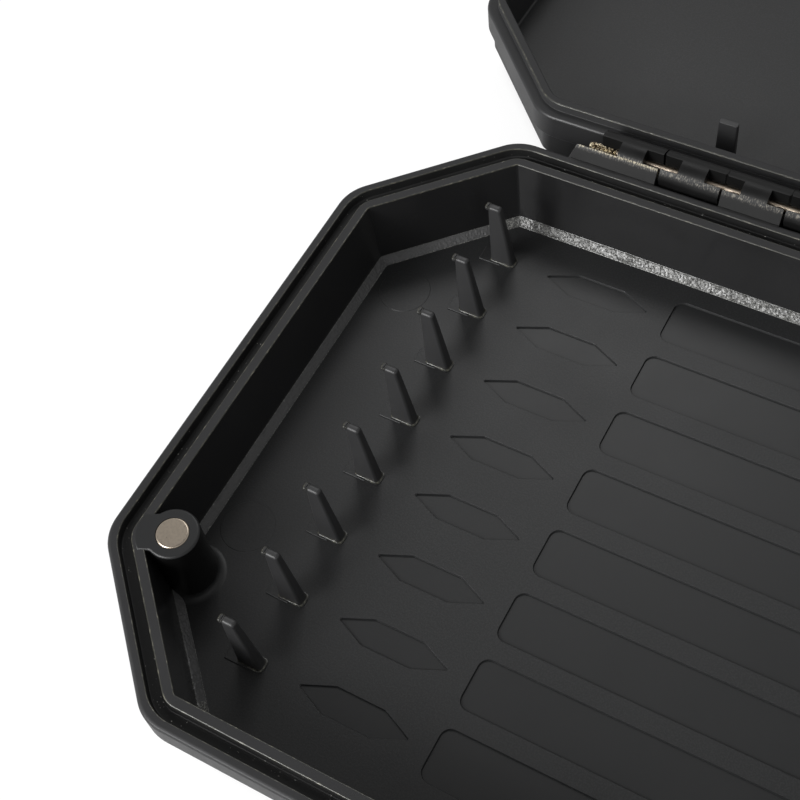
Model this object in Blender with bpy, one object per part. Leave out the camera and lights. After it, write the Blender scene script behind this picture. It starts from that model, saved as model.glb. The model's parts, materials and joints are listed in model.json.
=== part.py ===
"""Shallow eight-sided rig box, shown open: a tray with two rows of barbed line pegs, a lid that
folds right back on a long multi-finger hinge, one knurled hinge pin and four disc magnets.

Frame: origin at the centre of the tray's underside, +X along the hinge, +Y from the front of the
tray towards the hinge, +Z up. All sizes are in metres.
"""

import math

import bmesh
import bpy
from mathutils import Matrix

# Outline shared by the tray and the lid
BOX_LENGTH = 0.346
BOX_WIDTH = 0.1345
CORNER_CUT = 0.0252
OUTER_CORNER_SOFT = 0.0085
GROOVE_CORNER_SOFT = 0.0045
INNER_CORNER_SOFT = 0.0009
OUTLINE_STEPS = 4

# Tray section
TRAY_HEIGHT = 0.018
TRAY_FLOOR = 0.0025
RIM_BAND = 0.0058
OUTER_LIP = 0.00185
GROOVE_WIDTH = 0.0024
GROOVE_DEPTH = 0.002
INNER_LIP = 0.0019
TRAY_WALL = 0.0024
RIM_EDGE_SOFT = 0.0008
LIP_EDGE_SOFT = 0.00015
WALL_DRAFT = 0.0005
FLOOR_STRIP = 0.0015
UNDERSIDE_SOFT = 0.0016

# Lid section
LID_HEIGHT = 0.012
LID_ROOF = 0.002
LID_WALL = 0.0022
LID_EDGE_SOFT = 0.0014
TONGUE_HEIGHT = 0.0015
TONGUE_EDGE_SOFT = 0.0003
ROOF_EDGE_SOFT = 0.0004
GAP = 0.0003
REST_X = 0.0605
REST_Y = 0.01335
REST_LENGTH = 0.0042
REST_THICKNESS = 0.0016
REST_DROP = 0.0005
REST_DRAFT = 0.00015
REST_EDGE_SOFT = 0.0004

# Line pegs
PEG_COUNT = 8
PEG_PITCH = 0.0137
PEG_ROW_SHIFT = 0.00145
PEG_OUTER_X = 0.02735
PEG_ROOT_LENGTH = 0.005
PEG_ROOT_WIDTH = 0.0023
PEG_TOP_LENGTH = 0.00285
PEG_TOP_WIDTH = 0.0015
PEG_HEIGHT = 0.016
PEG_LEAN = 0.00085
PEG_CROWN = 0.0004
PEG_NOTCH = 0.0003
BARB_REACH = 0.001
BARB_DEPTH = 0.0009
PEG_FOOT_LENGTH = 0.00225
PEG_FOOT_WIDTH = 0.0034
PEG_FOOT_HEIGHT = 0.0002

# Shallow lanes and line guides in the tray floor
LANE_WIDTH = 0.010
LANE_START_X = 0.0652
LANE_CORNER = 0.002
LANE_DEPTH = 0.0003
LANE_STEPS = 3
GUIDE_START_X = 0.0392
GUIDE_END_X = 0.0612
GUIDE_WIDTH = 0.0054
GUIDE_POINT = 0.0062

# Corner magnets and their bosses
MAGNET_DIAMETER = 0.006
MAGNET_THICKNESS = 0.002
MAGNET_RECESS = 0.0002
MAGNET_FIT = 0.0001
BOSS_DIAMETER = 0.0097
BOSS_X = 0.0111
BOSS_Y = 0.0370
BOSS_WEB = 0.0065
BOSS_NECK_SOFT = 0.0009
BOSS_SINK = 0.00005
BOSS_RISE = 0.0001
BOSS_WEB_SETBACK = 0.0002
BOSS_FLARE = 0.0011
BOSS_STEPS = 24

# Hinge
HINGE_OFFSET = 0.0041
BARREL_RADIUS = 0.0038
BARREL_STEPS = 12
HINGE_START_X = 0.0356
HINGE_END_SLOPE = 0.0016
FIRST_FINGER_END_X = 0.05425
LID_FINGERS = 10
FINGER_GAP = 0.0005
WINDOW_LENGTH = 0.0072
WINDOW_DEPTH = 0.00245
PIN_DIAMETER = 0.0015
PIN_FAR_INSET = 0.004
PIN_END_SOFT = 0.0003
KNURL_START_X = 0.0386
KNURL_LENGTH = 0.0058
KNURL_DEPTH = 0.00006
KNURL_TEETH = 14
TROUGH_CLOSE_X = 0.0455
TROUGH_DEPTH = 0.0028
REAR_BARREL_X = 0.0413
GUSSET_DROP = 0.0054
ROOT_FILLET = 0.0002
TAB_EDGE_HEIGHT = 0.0006
TAB_EDGE_DROP = 0.0018
TAB_EDGE_SETBACK = 0.0006

# Shared by every cut and union
OVERRUN = 0.001
BITE = 0.0009
WELD_DISTANCE = 0.0000001

# Derived places
HALF_LENGTH = BOX_LENGTH / 2
HALF_WIDTH = BOX_WIDTH / 2
RIM_WIDTH = OUTER_LIP + GROOVE_WIDTH + INNER_LIP
HINGE_Y = HALF_WIDTH + HINGE_OFFSET
TONGUE_OUTER = OUTER_LIP + GAP
LID_RIM = OUTER_LIP + GROOVE_WIDTH - GAP
FINGER_PITCH = (BOX_LENGTH - FIRST_FINGER_END_X * 2) / (LID_FINGERS * 2 - 1)
LID_REACH = HINGE_OFFSET + BOX_WIDTH - (LID_RIM - LID_WALL) - LID_EDGE_SOFT
LID_DEPTH_REACH = LID_HEIGHT - LID_EDGE_SOFT
LID_DROP_RADIUS = math.hypot(LID_REACH, LID_DEPTH_REACH)
LID_TILT = (math.asin((TRAY_HEIGHT - LID_EDGE_SOFT) / LID_DROP_RADIUS)
            - math.atan2(LID_DEPTH_REACH, LID_REACH))


def clear_scene():
    for old in list(bpy.data.objects):
        bpy.data.objects.remove(old, do_unlink=True)


def new_collection(name):
    group = bpy.data.collections.new(name)
    bpy.context.scene.collection.children.link(group)
    return group


def make_material(name, colour, roughness, metallic):
    material = bpy.data.materials.new(name)
    material.use_nodes = True
    shader = material.node_tree.nodes["Principled BSDF"]
    shader.inputs["Base Color"].default_value = (*colour, 1.0)
    shader.inputs["Roughness"].default_value = roughness
    shader.inputs["Metallic"].default_value = metallic
    return material


def mesh_object(name, mesh_data, group):
    bmesh.ops.remove_doubles(mesh_data, verts=mesh_data.verts, dist=WELD_DISTANCE)
    bmesh.ops.recalc_face_normals(mesh_data, faces=mesh_data.faces)
    mesh = bpy.data.meshes.new(name)
    mesh_data.to_mesh(mesh)
    mesh_data.free()
    made = bpy.data.objects.new(name, mesh)
    group.objects.link(made)
    return made


def soften(corners, radii, steps):
    """Round each corner of a closed outline with an arc of its own radius."""
    points = []
    count = len(corners)
    for index, (x, y) in enumerate(corners):
        before = corners[index - 1]
        after = corners[(index + 1) % count]
        radius = radii[index]
        start_angle = math.atan2(y - before[1], x - before[0])
        end_angle = math.atan2(after[1] - y, after[0] - x)
        turn = math.remainder(end_angle - start_angle, math.tau)
        if radius == 0:
            points.append((x, y))
            continue
        tangent = radius * math.tan(abs(turn) / 2)
        side = math.copysign(radius, turn)
        start_x = x - tangent * math.cos(start_angle)
        start_y = y - tangent * math.sin(start_angle)
        centre_x = start_x - side * math.sin(start_angle)
        centre_y = start_y + side * math.cos(start_angle)
        for step in range(steps + 1):
            angle = start_angle + turn * step / steps
            points.append((centre_x + side * math.sin(angle), centre_y - side * math.cos(angle)))
    return points


def corner_cut(inset):
    """Leg of the 45 degree corner on the outline moved inwards by inset."""
    return CORNER_CUT - inset * (2 - math.sqrt(2))


def octagon(inset, soft):
    """The box outline, moved inwards by inset, with its eight corners rounded."""
    half_x = HALF_LENGTH - inset
    half_y = HALF_WIDTH - inset
    cut = corner_cut(inset)
    corners = [
        (half_x, half_y - cut), (half_x - cut, half_y),
        (cut - half_x, half_y), (-half_x, half_y - cut),
        (-half_x, cut - half_y), (cut - half_x, -half_y),
        (half_x - cut, -half_y), (half_x, cut - half_y),
    ]
    return soften(corners, [soft] * len(corners), OUTLINE_STEPS)


def loft(name, sections, group):
    """Skin a stack of matching outlines, each given with its height, and close both ends."""
    shape = bmesh.new()
    rings = []
    for outline, height in sections:
        rings.append([shape.verts.new((x, y, height)) for x, y in outline])
    for low, high in zip(rings, rings[1:]):
        count = len(low)
        for index in range(count):
            after = (index + 1) % count
            shape.faces.new((low[index], low[after], high[after], high[index]))
    shape.faces.new(rings[0])
    shape.faces.new(rings[-1])
    return mesh_object(name, shape, group)


def extrude_outline(shape, outline, start, end, matrix):
    """Add a flat outline to a mesh and pull it out along its own Z, then place it."""
    verts = [shape.verts.new((x, y, start)) for x, y in outline]
    face = shape.faces.new(verts)
    pulled = bmesh.ops.extrude_face_region(shape, geom=[face])
    top = [item for item in pulled["geom"] if isinstance(item, bmesh.types.BMVert)]
    bmesh.ops.translate(shape, verts=top, vec=(0, 0, end - start))
    bmesh.ops.transform(shape, verts=verts + top, matrix=matrix)
    return verts, top


def add_cylinder(shape, radius, length, centre, steps, matrix=None):
    placed = Matrix.Translation(centre)
    if matrix is not None:
        placed = placed @ matrix
    bmesh.ops.create_cone(shape, cap_ends=True, segments=steps, radius1=radius, radius2=radius,
                          depth=length, matrix=placed)


def boolean(target, operand, operation):
    modifier = target.modifiers.new(operand.name, "BOOLEAN")
    modifier.operation = operation
    modifier.solver = "EXACT"
    modifier.object = operand
    operand.hide_render = True
    operand.display_type = "WIRE"


def finish(target, material, smooth_angle):
    target.data.materials.append(material)
    target.data.shade_smooth()
    target.data.set_sharp_from_angle(angle=smooth_angle)


# The profile of a finger lies in the YZ plane and is pulled along X
ACROSS = Matrix(((0, 0, 1, 0), (1, 0, 0, 0), (0, 1, 0, 0), (0, 0, 0, 1)))


def barrel_arc(start_angle, end_angle):
    """Points round the hinge axis, from one angle to the other, over the top or underneath."""
    steps = max(2, round(BARREL_STEPS * abs(end_angle - start_angle) / math.tau * 2))
    points = []
    for step in range(steps + 1):
        angle = start_angle + (end_angle - start_angle) * step / steps
        points.append((BARREL_RADIUS * math.cos(angle), BARREL_RADIUS * math.sin(angle)))
    return points


def base_finger_outline():
    """Tray finger round the hinge axis: level with the rim in front, gusset to the wall below."""
    wall = -HINGE_OFFSET - BITE
    foot_angle = math.radians(-90)
    fillet_angle = math.asin(ROOT_FILLET / BARREL_RADIUS)
    front = (-BARREL_RADIUS - ROOT_FILLET, 0)
    outline = [(wall, 0), front]
    outline += reversed(barrel_arc(foot_angle, math.pi - fillet_angle * 2))
    outline += [(wall, -GUSSET_DROP), (wall, -GUSSET_DROP / 2)]
    return outline


def lid_finger_outline():
    """Lid finger: the same barrel with a flat tab edge on its free side."""
    wall = HINGE_OFFSET + BITE
    foot_angle = math.radians(-90)
    edge_angle = math.pi - math.asin(TAB_EDGE_HEIGHT / BARREL_RADIUS)
    top_angle = math.asin(ROOT_FILLET / BARREL_RADIUS)
    low_point = (-BARREL_RADIUS + TAB_EDGE_SETBACK, -TAB_EDGE_DROP)
    under_angle = math.atan2(-BARREL_RADIUS, -BARREL_RADIUS / 2) + math.tau
    outline = [(wall, -GAP), (BARREL_RADIUS + ROOT_FILLET / 2, -GAP)]
    outline += barrel_arc(top_angle, edge_angle)
    outline += [low_point]
    outline += barrel_arc(under_angle, foot_angle + math.tau)
    outline += [(wall, -GUSSET_DROP), (wall, -GUSSET_DROP / 2)]
    return outline


def finger_edges():
    """Ends of every inner finger along X, first to last, with half the gap taken off each."""
    first = FIRST_FINGER_END_X - HALF_LENGTH
    fingers = []
    for index in range(LID_FINGERS * 2 - 1):
        start = first + FINGER_PITCH * index + FINGER_GAP / 2
        fingers.append((start, start + FINGER_PITCH - FINGER_GAP))
    return fingers


def window_centres():
    first = FIRST_FINGER_END_X - HALF_LENGTH
    return [first + FINGER_PITCH * index for index in range(LID_FINGERS * 2)]


def hinge_fingers(name, outline, spans, group):
    shape = bmesh.new()
    for start, end in spans:
        extrude_outline(shape, outline, start, end, ACROSS)
    return mesh_object(name, shape, group)


def end_fingers(group):
    """The two long end fingers of the tray, whose outer faces lean towards the middle."""
    shape = bmesh.new()
    top = BARREL_RADIUS
    for side in (-1, 1):
        outer = side * (HALF_LENGTH - HINGE_START_X)
        inner = side * (HALF_LENGTH - FIRST_FINGER_END_X + FINGER_GAP / 2)
        near, far = extrude_outline(shape, base_finger_outline(), outer, inner, ACROSS)
        for vert in near:
            vert.co.x -= side * HINGE_END_SLOPE * vert.co.z / top
    return mesh_object("end_fingers", shape, group)


def trough_cutter(group):
    """Opens the outer part of each end finger, so that the ends of the pin lie in a trough."""
    shape = bmesh.new()
    reach = BARREL_RADIUS + OVERRUN
    for side in (-1, 1):
        start = side * (HALF_LENGTH - HINGE_START_X + OVERRUN)
        close = side * (HALF_LENGTH - TROUGH_CLOSE_X)
        outline = [(-TROUGH_DEPTH, -PIN_DIAMETER / 4), (0, -PIN_DIAMETER / 4),
                   (0, reach), (-TROUGH_DEPTH, reach)]
        extrude_outline(shape, outline, start, close, ACROSS)
    return mesh_object("cut_pin_trough", shape, group)


def rear_cutter(group):
    """Takes the rear half off the outer part of each end finger."""
    shape = bmesh.new()
    reach = BARREL_RADIUS + OVERRUN
    for side in (-1, 1):
        start = side * (HALF_LENGTH - HINGE_START_X + OVERRUN)
        close = side * (HALF_LENGTH - REAR_BARREL_X)
        outline = [(0, -reach), (reach, -reach), (reach, reach), (0, reach)]
        extrude_outline(shape, outline, start, close, ACROSS)
    return mesh_object("cut_rear_corner", shape, group)


def window_cutter(name, group):
    """Square windows over the pin, each centred on the joint between two fingers."""
    shape = bmesh.new()
    reach = BARREL_RADIUS + OVERRUN
    outline = [(-WINDOW_DEPTH, -PIN_DIAMETER / 4), (0, -PIN_DIAMETER / 4),
               (0, reach), (-WINDOW_DEPTH, reach)]
    for centre in window_centres():
        extrude_outline(shape, outline, centre - WINDOW_LENGTH / 2, centre + WINDOW_LENGTH / 2,
                        ACROSS)
    return mesh_object(name, shape, group)


def pin_bore(name, group):
    """Bore for the pin, right through every finger."""
    shape = bmesh.new()
    length = (HALF_LENGTH - HINGE_START_X + OVERRUN) * 2
    along_x = Matrix.Rotation(math.pi / 2, 4, "Y")
    add_cylinder(shape, PIN_DIAMETER / 2 + GAP, length, (0, 0, 0), BARREL_STEPS, along_x)
    return mesh_object(name, shape, group)


def peg_outline(side):
    """Side view of one peg: both faces lean inwards, with a notch and a barb at the head."""
    root = PEG_ROOT_LENGTH
    top = PEG_TOP_LENGTH
    neck = PEG_LEAN
    tip = PEG_LEAN - BARB_REACH
    points = [
        (0, -BITE), (root, -BITE), (root, 0), (top, PEG_HEIGHT - PEG_CROWN),
        (top - PEG_CROWN, PEG_HEIGHT), (neck + PEG_NOTCH, PEG_HEIGHT),
        (neck, PEG_HEIGHT - PEG_NOTCH), (neck - PEG_NOTCH, PEG_HEIGHT),
        (tip, PEG_HEIGHT - PEG_NOTCH), (tip, PEG_HEIGHT - BARB_DEPTH),
        (neck, PEG_HEIGHT - BARB_DEPTH), (0, 0),
    ]
    return [(side * x, z) for x, z in points]


def peg_places():
    middle = (PEG_COUNT - 1) / 2
    return [PEG_ROW_SHIFT + (middle - index) * PEG_PITCH for index in range(PEG_COUNT)]


def line_pegs(group):
    """Both rows of pegs, each one tapered in thickness from its root to its top."""
    shape = bmesh.new()
    upright = Matrix(((1, 0, 0, 0), (0, 0, -1, 0), (0, 1, 0, 0), (0, 0, 0, 1)))
    for side in (1, -1):
        root_x = side * (PEG_OUTER_X - HALF_LENGTH)
        for y in peg_places():
            near, far = extrude_outline(shape, peg_outline(side), -PEG_ROOT_WIDTH / 2,
                                        PEG_ROOT_WIDTH / 2, upright)
            for vert in near + far:
                rise = max(0, vert.co.z) / PEG_HEIGHT
                width = PEG_ROOT_WIDTH + (PEG_TOP_WIDTH - PEG_ROOT_WIDTH) * rise
                vert.co.y *= width / PEG_ROOT_WIDTH
            placed = Matrix.Translation((root_x, y, TRAY_FLOOR))
            bmesh.ops.transform(shape, verts=near + far, matrix=placed)
    return mesh_object("line_pegs", shape, group)


def peg_feet(group):
    """Low pads on the floor under the barbs."""
    shape = bmesh.new()
    for side in (1, -1):
        outer = side * (PEG_OUTER_X - PEG_FOOT_LENGTH - HALF_LENGTH)
        inner = side * (PEG_OUTER_X + PEG_ROOT_LENGTH / 2 - HALF_LENGTH)
        for y in peg_places():
            half = PEG_FOOT_WIDTH / 2
            outline = [(outer, y - half), (inner, y - half), (inner, y + half), (outer, y + half)]
            extrude_outline(shape, outline, TRAY_FLOOR - BITE, TRAY_FLOOR + PEG_FOOT_HEIGHT,
                            Matrix.Identity(4))
    return mesh_object("peg_feet", shape, group)


def lane_cutter(group):
    """Long round-cornered lanes, one in line with each pair of facing pegs."""
    shape = bmesh.new()
    half_x = HALF_LENGTH - LANE_START_X
    half_y = LANE_WIDTH / 2
    for y in peg_places():
        corners = [(half_x, y - half_y), (half_x, y + half_y),
                   (-half_x, y + half_y), (-half_x, y - half_y)]
        outline = soften(corners, [LANE_CORNER] * len(corners), LANE_STEPS)
        extrude_outline(shape, outline, TRAY_FLOOR - LANE_DEPTH, TRAY_FLOOR + OVERRUN,
                        Matrix.Identity(4))
    return mesh_object("cut_lanes", shape, group)


def guide_cutter(group):
    """Plain pointed slots that lead from each lane to its peg."""
    shape = bmesh.new()
    half_y = GUIDE_WIDTH / 2
    for side in (-1, 1):
        tip = HALF_LENGTH - GUIDE_START_X
        tail = HALF_LENGTH - GUIDE_END_X
        for y in peg_places():
            outline = [(side * tip, y), (side * (tip - GUIDE_POINT), y + half_y),
                       (side * (tail + GUIDE_POINT), y + half_y), (side * tail, y),
                       (side * (tail + GUIDE_POINT), y - half_y),
                       (side * (tip - GUIDE_POINT), y - half_y)]
            extrude_outline(shape, outline, TRAY_FLOOR - LANE_DEPTH, TRAY_FLOOR + OVERRUN,
                            Matrix.Identity(4))
    return mesh_object("cut_line_guides", shape, group)


def boss_places():
    return [(side * (BOSS_X - HALF_LENGTH), -BOSS_Y) for side in (1, -1)]


def boss_outline(wall_inset, bite):
    """Keyhole outline of one boss: its web points along +X into the corner of the wall."""
    radius = BOSS_DIAMETER / 2
    half = BOSS_WEB / 2
    corner_x = HALF_LENGTH - wall_inset
    corner_y = HALF_WIDTH - wall_inset - corner_cut(wall_inset)
    reach = math.hypot(corner_x - (HALF_LENGTH - BOSS_X), corner_y - BOSS_Y) + bite
    shoulder = reach - half * math.tan(math.radians(22.5))
    neck_angle = math.asin(half / radius)
    corners = [(shoulder, -half), (reach, 0), (shoulder, half)]
    radii = [0, GROOVE_CORNER_SOFT, 0]
    sweep = math.tau - neck_angle * 2
    for step in range(BOSS_STEPS + 1):
        angle = neck_angle + sweep * step / BOSS_STEPS
        corners.append((radius * math.cos(angle), radius * math.sin(angle)))
        radii.append(BOSS_NECK_SOFT if step in (0, BOSS_STEPS) else 0)
    return soften(corners, radii, LANE_STEPS)


def magnet_bosses(name, low, high, wall_inset, bite, mirror_y, group):
    """Round bosses in the two front corners, each with a web that runs into the wall."""
    shape = bmesh.new()
    corner_x = HALF_LENGTH - wall_inset
    corner_y = HALF_WIDTH - wall_inset - corner_cut(wall_inset)
    lean = math.atan2(corner_y - BOSS_Y, corner_x - (HALF_LENGTH - BOSS_X))
    for x, y in boss_places():
        turn = math.atan2(mirror_y * math.copysign(math.sin(lean), y),
                          math.copysign(math.cos(lean), x))
        placed = Matrix.Translation((x, y * mirror_y, 0)) @ Matrix.Rotation(turn, 4, "Z")
        extrude_outline(shape, boss_outline(wall_inset, bite), low, high, placed)
    return mesh_object(name, shape, group)


def lid_rests(group):
    """Two upright rests on the lid's roof behind its near wall, a little thinner at the top."""
    shape = bmesh.new()
    half_x = REST_LENGTH / 2
    half_y = REST_THICKNESS / 2
    corners = [(half_x, half_y), (-half_x, half_y), (-half_x, -half_y), (half_x, -half_y)]
    outline = soften(corners, [REST_EDGE_SOFT] * len(corners), LANE_STEPS)
    low = LID_ROOF - LID_HEIGHT - BITE
    high = -GAP - REST_DROP
    for side in (-1, 1):
        near, far = extrude_outline(shape, outline, low, high, Matrix.Identity(4))
        for vert in far:
            vert.co.x *= 1 - REST_DRAFT / half_x
            vert.co.y *= 1 - REST_DRAFT / half_y
        placed = Matrix.Translation((side * (HALF_LENGTH - REST_X), HINGE_OFFSET + REST_Y, 0))
        bmesh.ops.transform(shape, verts=near + far, matrix=placed)
    return mesh_object("lid_rests", shape, group)


def boss_flares(group):
    """Small cone at the foot of each tray boss in place of a fillet."""
    shape = bmesh.new()
    radius = BOSS_DIAMETER / 2
    for x, y in boss_places():
        placed = Matrix.Translation((x, y, TRAY_FLOOR))
        bmesh.ops.create_cone(shape, cap_ends=True, segments=BOSS_STEPS,
                              radius1=radius + BOSS_FLARE * 2, radius2=radius,
                              depth=BOSS_FLARE * 2, matrix=placed)
    return mesh_object("boss_flares", shape, group)


def magnet_pockets(name, top, depth_sign, group):
    shape = bmesh.new()
    depth = MAGNET_THICKNESS + MAGNET_RECESS + GAP
    for x, y in boss_places():
        add_cylinder(shape, MAGNET_DIAMETER / 2 + MAGNET_FIT, depth + OVERRUN,
                     (x, y * depth_sign, top - (depth - OVERRUN) / 2), BOSS_STEPS)
    return mesh_object(name, shape, group)


def tray_sections():
    """Section of the tray wall from the underside, over the rim and down to the floor."""
    tuck = RIM_WIDTH - TRAY_WALL
    under_band = TRAY_HEIGHT - RIM_BAND
    groove_inner = OUTER_LIP + GROOVE_WIDTH
    outer = OUTER_CORNER_SOFT
    middle = GROOVE_CORNER_SOFT
    inner = INNER_CORNER_SOFT
    wall_foot = RIM_WIDTH + WALL_DRAFT
    floor_edge = TRAY_FLOOR + FLOOR_STRIP
    return [
        (octagon(tuck + UNDERSIDE_SOFT, middle), 0),
        (octagon(tuck + UNDERSIDE_SOFT / 4, middle), UNDERSIDE_SOFT / 4),
        (octagon(tuck, middle), UNDERSIDE_SOFT),
        (octagon(tuck, middle), under_band - tuck / 2),
        (octagon(0, outer), under_band),
        (octagon(0, outer), TRAY_HEIGHT - RIM_EDGE_SOFT),
        (octagon(RIM_EDGE_SOFT / 4, outer), TRAY_HEIGHT - RIM_EDGE_SOFT / 4),
        (octagon(RIM_EDGE_SOFT, outer), TRAY_HEIGHT),
        (octagon(OUTER_LIP, outer), TRAY_HEIGHT),
        (octagon(OUTER_LIP, outer), TRAY_HEIGHT - GROOVE_DEPTH),
        (octagon(groove_inner, middle), TRAY_HEIGHT - GROOVE_DEPTH),
        (octagon(groove_inner, middle), TRAY_HEIGHT),
        (octagon(RIM_WIDTH - LIP_EDGE_SOFT, inner), TRAY_HEIGHT),
        (octagon(RIM_WIDTH, inner), TRAY_HEIGHT - LIP_EDGE_SOFT),
        (octagon(wall_foot, inner), floor_edge),
        (octagon(wall_foot + FLOOR_STRIP, inner), TRAY_FLOOR),
    ]


def lid_sections():
    """Section of the open lid, whose cavity faces up: roof at the bottom, tongue on the rim."""
    tuck = LID_RIM - LID_WALL
    outer = OUTER_CORNER_SOFT
    middle = GROOVE_CORNER_SOFT
    roof_inside = LID_ROOF - LID_HEIGHT
    return [
        (octagon(tuck + LID_EDGE_SOFT, middle), -LID_HEIGHT),
        (octagon(tuck + LID_EDGE_SOFT / 4, middle), LID_EDGE_SOFT / 4 - LID_HEIGHT),
        (octagon(tuck, middle), LID_EDGE_SOFT - LID_HEIGHT),
        (octagon(tuck, middle), -RIM_BAND - tuck / 2),
        (octagon(0, outer), -RIM_BAND),
        (octagon(0, outer), -GAP - RIM_EDGE_SOFT),
        (octagon(RIM_EDGE_SOFT / 4, outer), -GAP - RIM_EDGE_SOFT / 4),
        (octagon(RIM_EDGE_SOFT, outer), -GAP),
        (octagon(TONGUE_OUTER, outer), -GAP),
        (octagon(TONGUE_OUTER, outer), TONGUE_HEIGHT - TONGUE_EDGE_SOFT),
        (octagon(TONGUE_OUTER + TONGUE_EDGE_SOFT, outer), TONGUE_HEIGHT),
        (octagon(LID_RIM - TONGUE_EDGE_SOFT, middle), TONGUE_HEIGHT),
        (octagon(LID_RIM, middle), TONGUE_HEIGHT - TONGUE_EDGE_SOFT),
        (octagon(LID_RIM + WALL_DRAFT, middle), roof_inside + ROOF_EDGE_SOFT),
        (octagon(LID_RIM + WALL_DRAFT + ROOF_EDGE_SOFT, middle), roof_inside),
    ]


def place_on_hinge(piece, axis):
    """Shapes made about the hinge line take their place from the empty that stands on it."""
    piece.parent = axis
    return piece


def build_tray(parts, cutters, axis, material):
    tray = loft("tray", tray_sections(), parts)
    base_spans = finger_edges()[1::2]
    fingers = hinge_fingers("tray_fingers", base_finger_outline(), base_spans, cutters)
    for piece in (fingers, end_fingers(cutters)):
        boolean(tray, place_on_hinge(piece, axis), "UNION")
    boolean(tray, peg_feet(cutters), "UNION")
    boolean(tray, line_pegs(cutters), "UNION")
    low = TRAY_FLOOR - BITE
    boss_top = TRAY_HEIGHT + BOSS_RISE
    bite = INNER_LIP - BOSS_WEB_SETBACK
    bosses = magnet_bosses("tray_bosses", low, boss_top, RIM_WIDTH, bite, 1, cutters)
    boolean(tray, bosses, "UNION")
    boolean(tray, boss_flares(cutters), "UNION")
    boolean(tray, magnet_pockets("cut_tray_pockets", TRAY_HEIGHT, 1, cutters), "DIFFERENCE")
    boolean(tray, lane_cutter(cutters), "DIFFERENCE")
    boolean(tray, guide_cutter(cutters), "DIFFERENCE")
    for piece in (window_cutter("cut_tray_windows", cutters), trough_cutter(cutters),
                  rear_cutter(cutters), pin_bore("cut_tray_bore", cutters)):
        boolean(tray, place_on_hinge(piece, axis), "DIFFERENCE")
    finish(tray, material, math.radians(30))


def build_lid(parts, cutters, lid_axis, material):
    """The lid is modelled about the hinge axis, lying open, and tilts with its parent empty."""
    lid = loft("lid", lid_sections(), parts)
    middle_y = HINGE_OFFSET + HALF_WIDTH
    lid.data.transform(Matrix.Translation((0, middle_y, 0)))
    fingers = hinge_fingers("lid_fingers", lid_finger_outline(), finger_edges()[0::2], cutters)
    roof_z = LID_ROOF - LID_HEIGHT
    sunk = [window_cutter("cut_lid_windows", cutters), pin_bore("cut_lid_bore", cutters)]
    boss_top = -GAP - BOSS_SINK
    bosses = magnet_bosses("lid_bosses", roof_z - BITE, boss_top, LID_RIM, BITE, -1, cutters)
    pockets = magnet_pockets("cut_lid_pockets", -GAP, -1, cutters)
    for piece in (bosses, pockets):
        piece.data.transform(Matrix.Translation((0, middle_y, 0)))
    for piece in (fingers, bosses, lid_rests(cutters)):
        boolean(lid, place_on_hinge(piece, lid_axis), "UNION")
    for piece in sunk + [pockets]:
        boolean(lid, place_on_hinge(piece, lid_axis), "DIFFERENCE")
    finish(place_on_hinge(lid, lid_axis), material, math.radians(30))


def build_pin(parts, cutters, axis, material):
    """Steel wire pin with a knurled end."""
    shape = bmesh.new()
    along_x = Matrix.Rotation(math.pi / 2, 4, "Y")
    start = KNURL_START_X - HALF_LENGTH
    end = HALF_LENGTH - HINGE_START_X - PIN_FAR_INSET
    radius = PIN_DIAMETER / 2
    add_cylinder(shape, radius, end - start, ((start + end) / 2, 0, 0), BARREL_STEPS, along_x)
    pin = mesh_object("hinge_pin", shape, parts)
    ring = []
    for index in range(KNURL_TEETH * 2):
        angle = math.tau * index / (KNURL_TEETH * 2)
        reach = radius + KNURL_DEPTH * (2 if index % 2 else 1)
        ring.append((reach * math.cos(angle), reach * math.sin(angle)))
    knurl_shape = bmesh.new()
    extrude_outline(knurl_shape, ring, start + PIN_END_SOFT, start + KNURL_LENGTH, ACROSS)
    knurl = mesh_object("pin_knurl", knurl_shape, cutters)
    boolean(place_on_hinge(pin, axis), place_on_hinge(knurl, axis), "UNION")
    finish(pin, material, math.radians(30))


def build_magnets(parts, lid_axis, material):
    """At each front corner a disc magnet in the tray, and one in the lid that meets it."""
    thickness = MAGNET_THICKNESS
    for label, (x, y) in zip(("left", "right"), boss_places()):
        shape = bmesh.new()
        centre = (0, 0, -thickness / 2)
        add_cylinder(shape, MAGNET_DIAMETER / 2, thickness, centre, BOSS_STEPS)
        tray_magnet = mesh_object("tray_magnet_" + label, shape, parts)
        tray_magnet.location = (x, y, TRAY_HEIGHT - MAGNET_RECESS)
        lid_magnet = bpy.data.objects.new("lid_magnet_" + label, tray_magnet.data)
        parts.objects.link(lid_magnet)
        lid_magnet.parent = lid_axis
        lid_magnet.location = (x, HINGE_OFFSET + HALF_WIDTH - y, -GAP - MAGNET_RECESS)
        finish(tray_magnet, material, math.radians(30))


def main():
    clear_scene()
    parts = new_collection("rig_box")
    cutters = new_collection("rig_box_cutters")
    plastic = make_material("black_plastic", (0.035, 0.036, 0.037), 0.45, 0.0)
    steel = make_material("pin_steel", (0.62, 0.52, 0.42), 0.3, 1.0)
    nickel = make_material("magnet_nickel", (0.55, 0.5, 0.45), 0.3, 1.0)

    axis = bpy.data.objects.new("hinge_axis", None)
    axis.location = (0, HINGE_Y, TRAY_HEIGHT)
    parts.objects.link(axis)
    lid_axis = bpy.data.objects.new("lid_hinge_axis", None)
    lid_axis.location = (0, HINGE_Y, TRAY_HEIGHT)
    lid_axis.rotation_euler = (-LID_TILT, 0, 0)
    parts.objects.link(lid_axis)

    build_tray(parts, cutters, axis, plastic)
    build_lid(parts, cutters, lid_axis, plastic)
    build_pin(parts, cutters, axis, steel)
    build_magnets(parts, lid_axis, nickel)


main()
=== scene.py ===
import json
import math
import random

import bmesh
import bpy
from mathutils import Matrix, Vector


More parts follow.
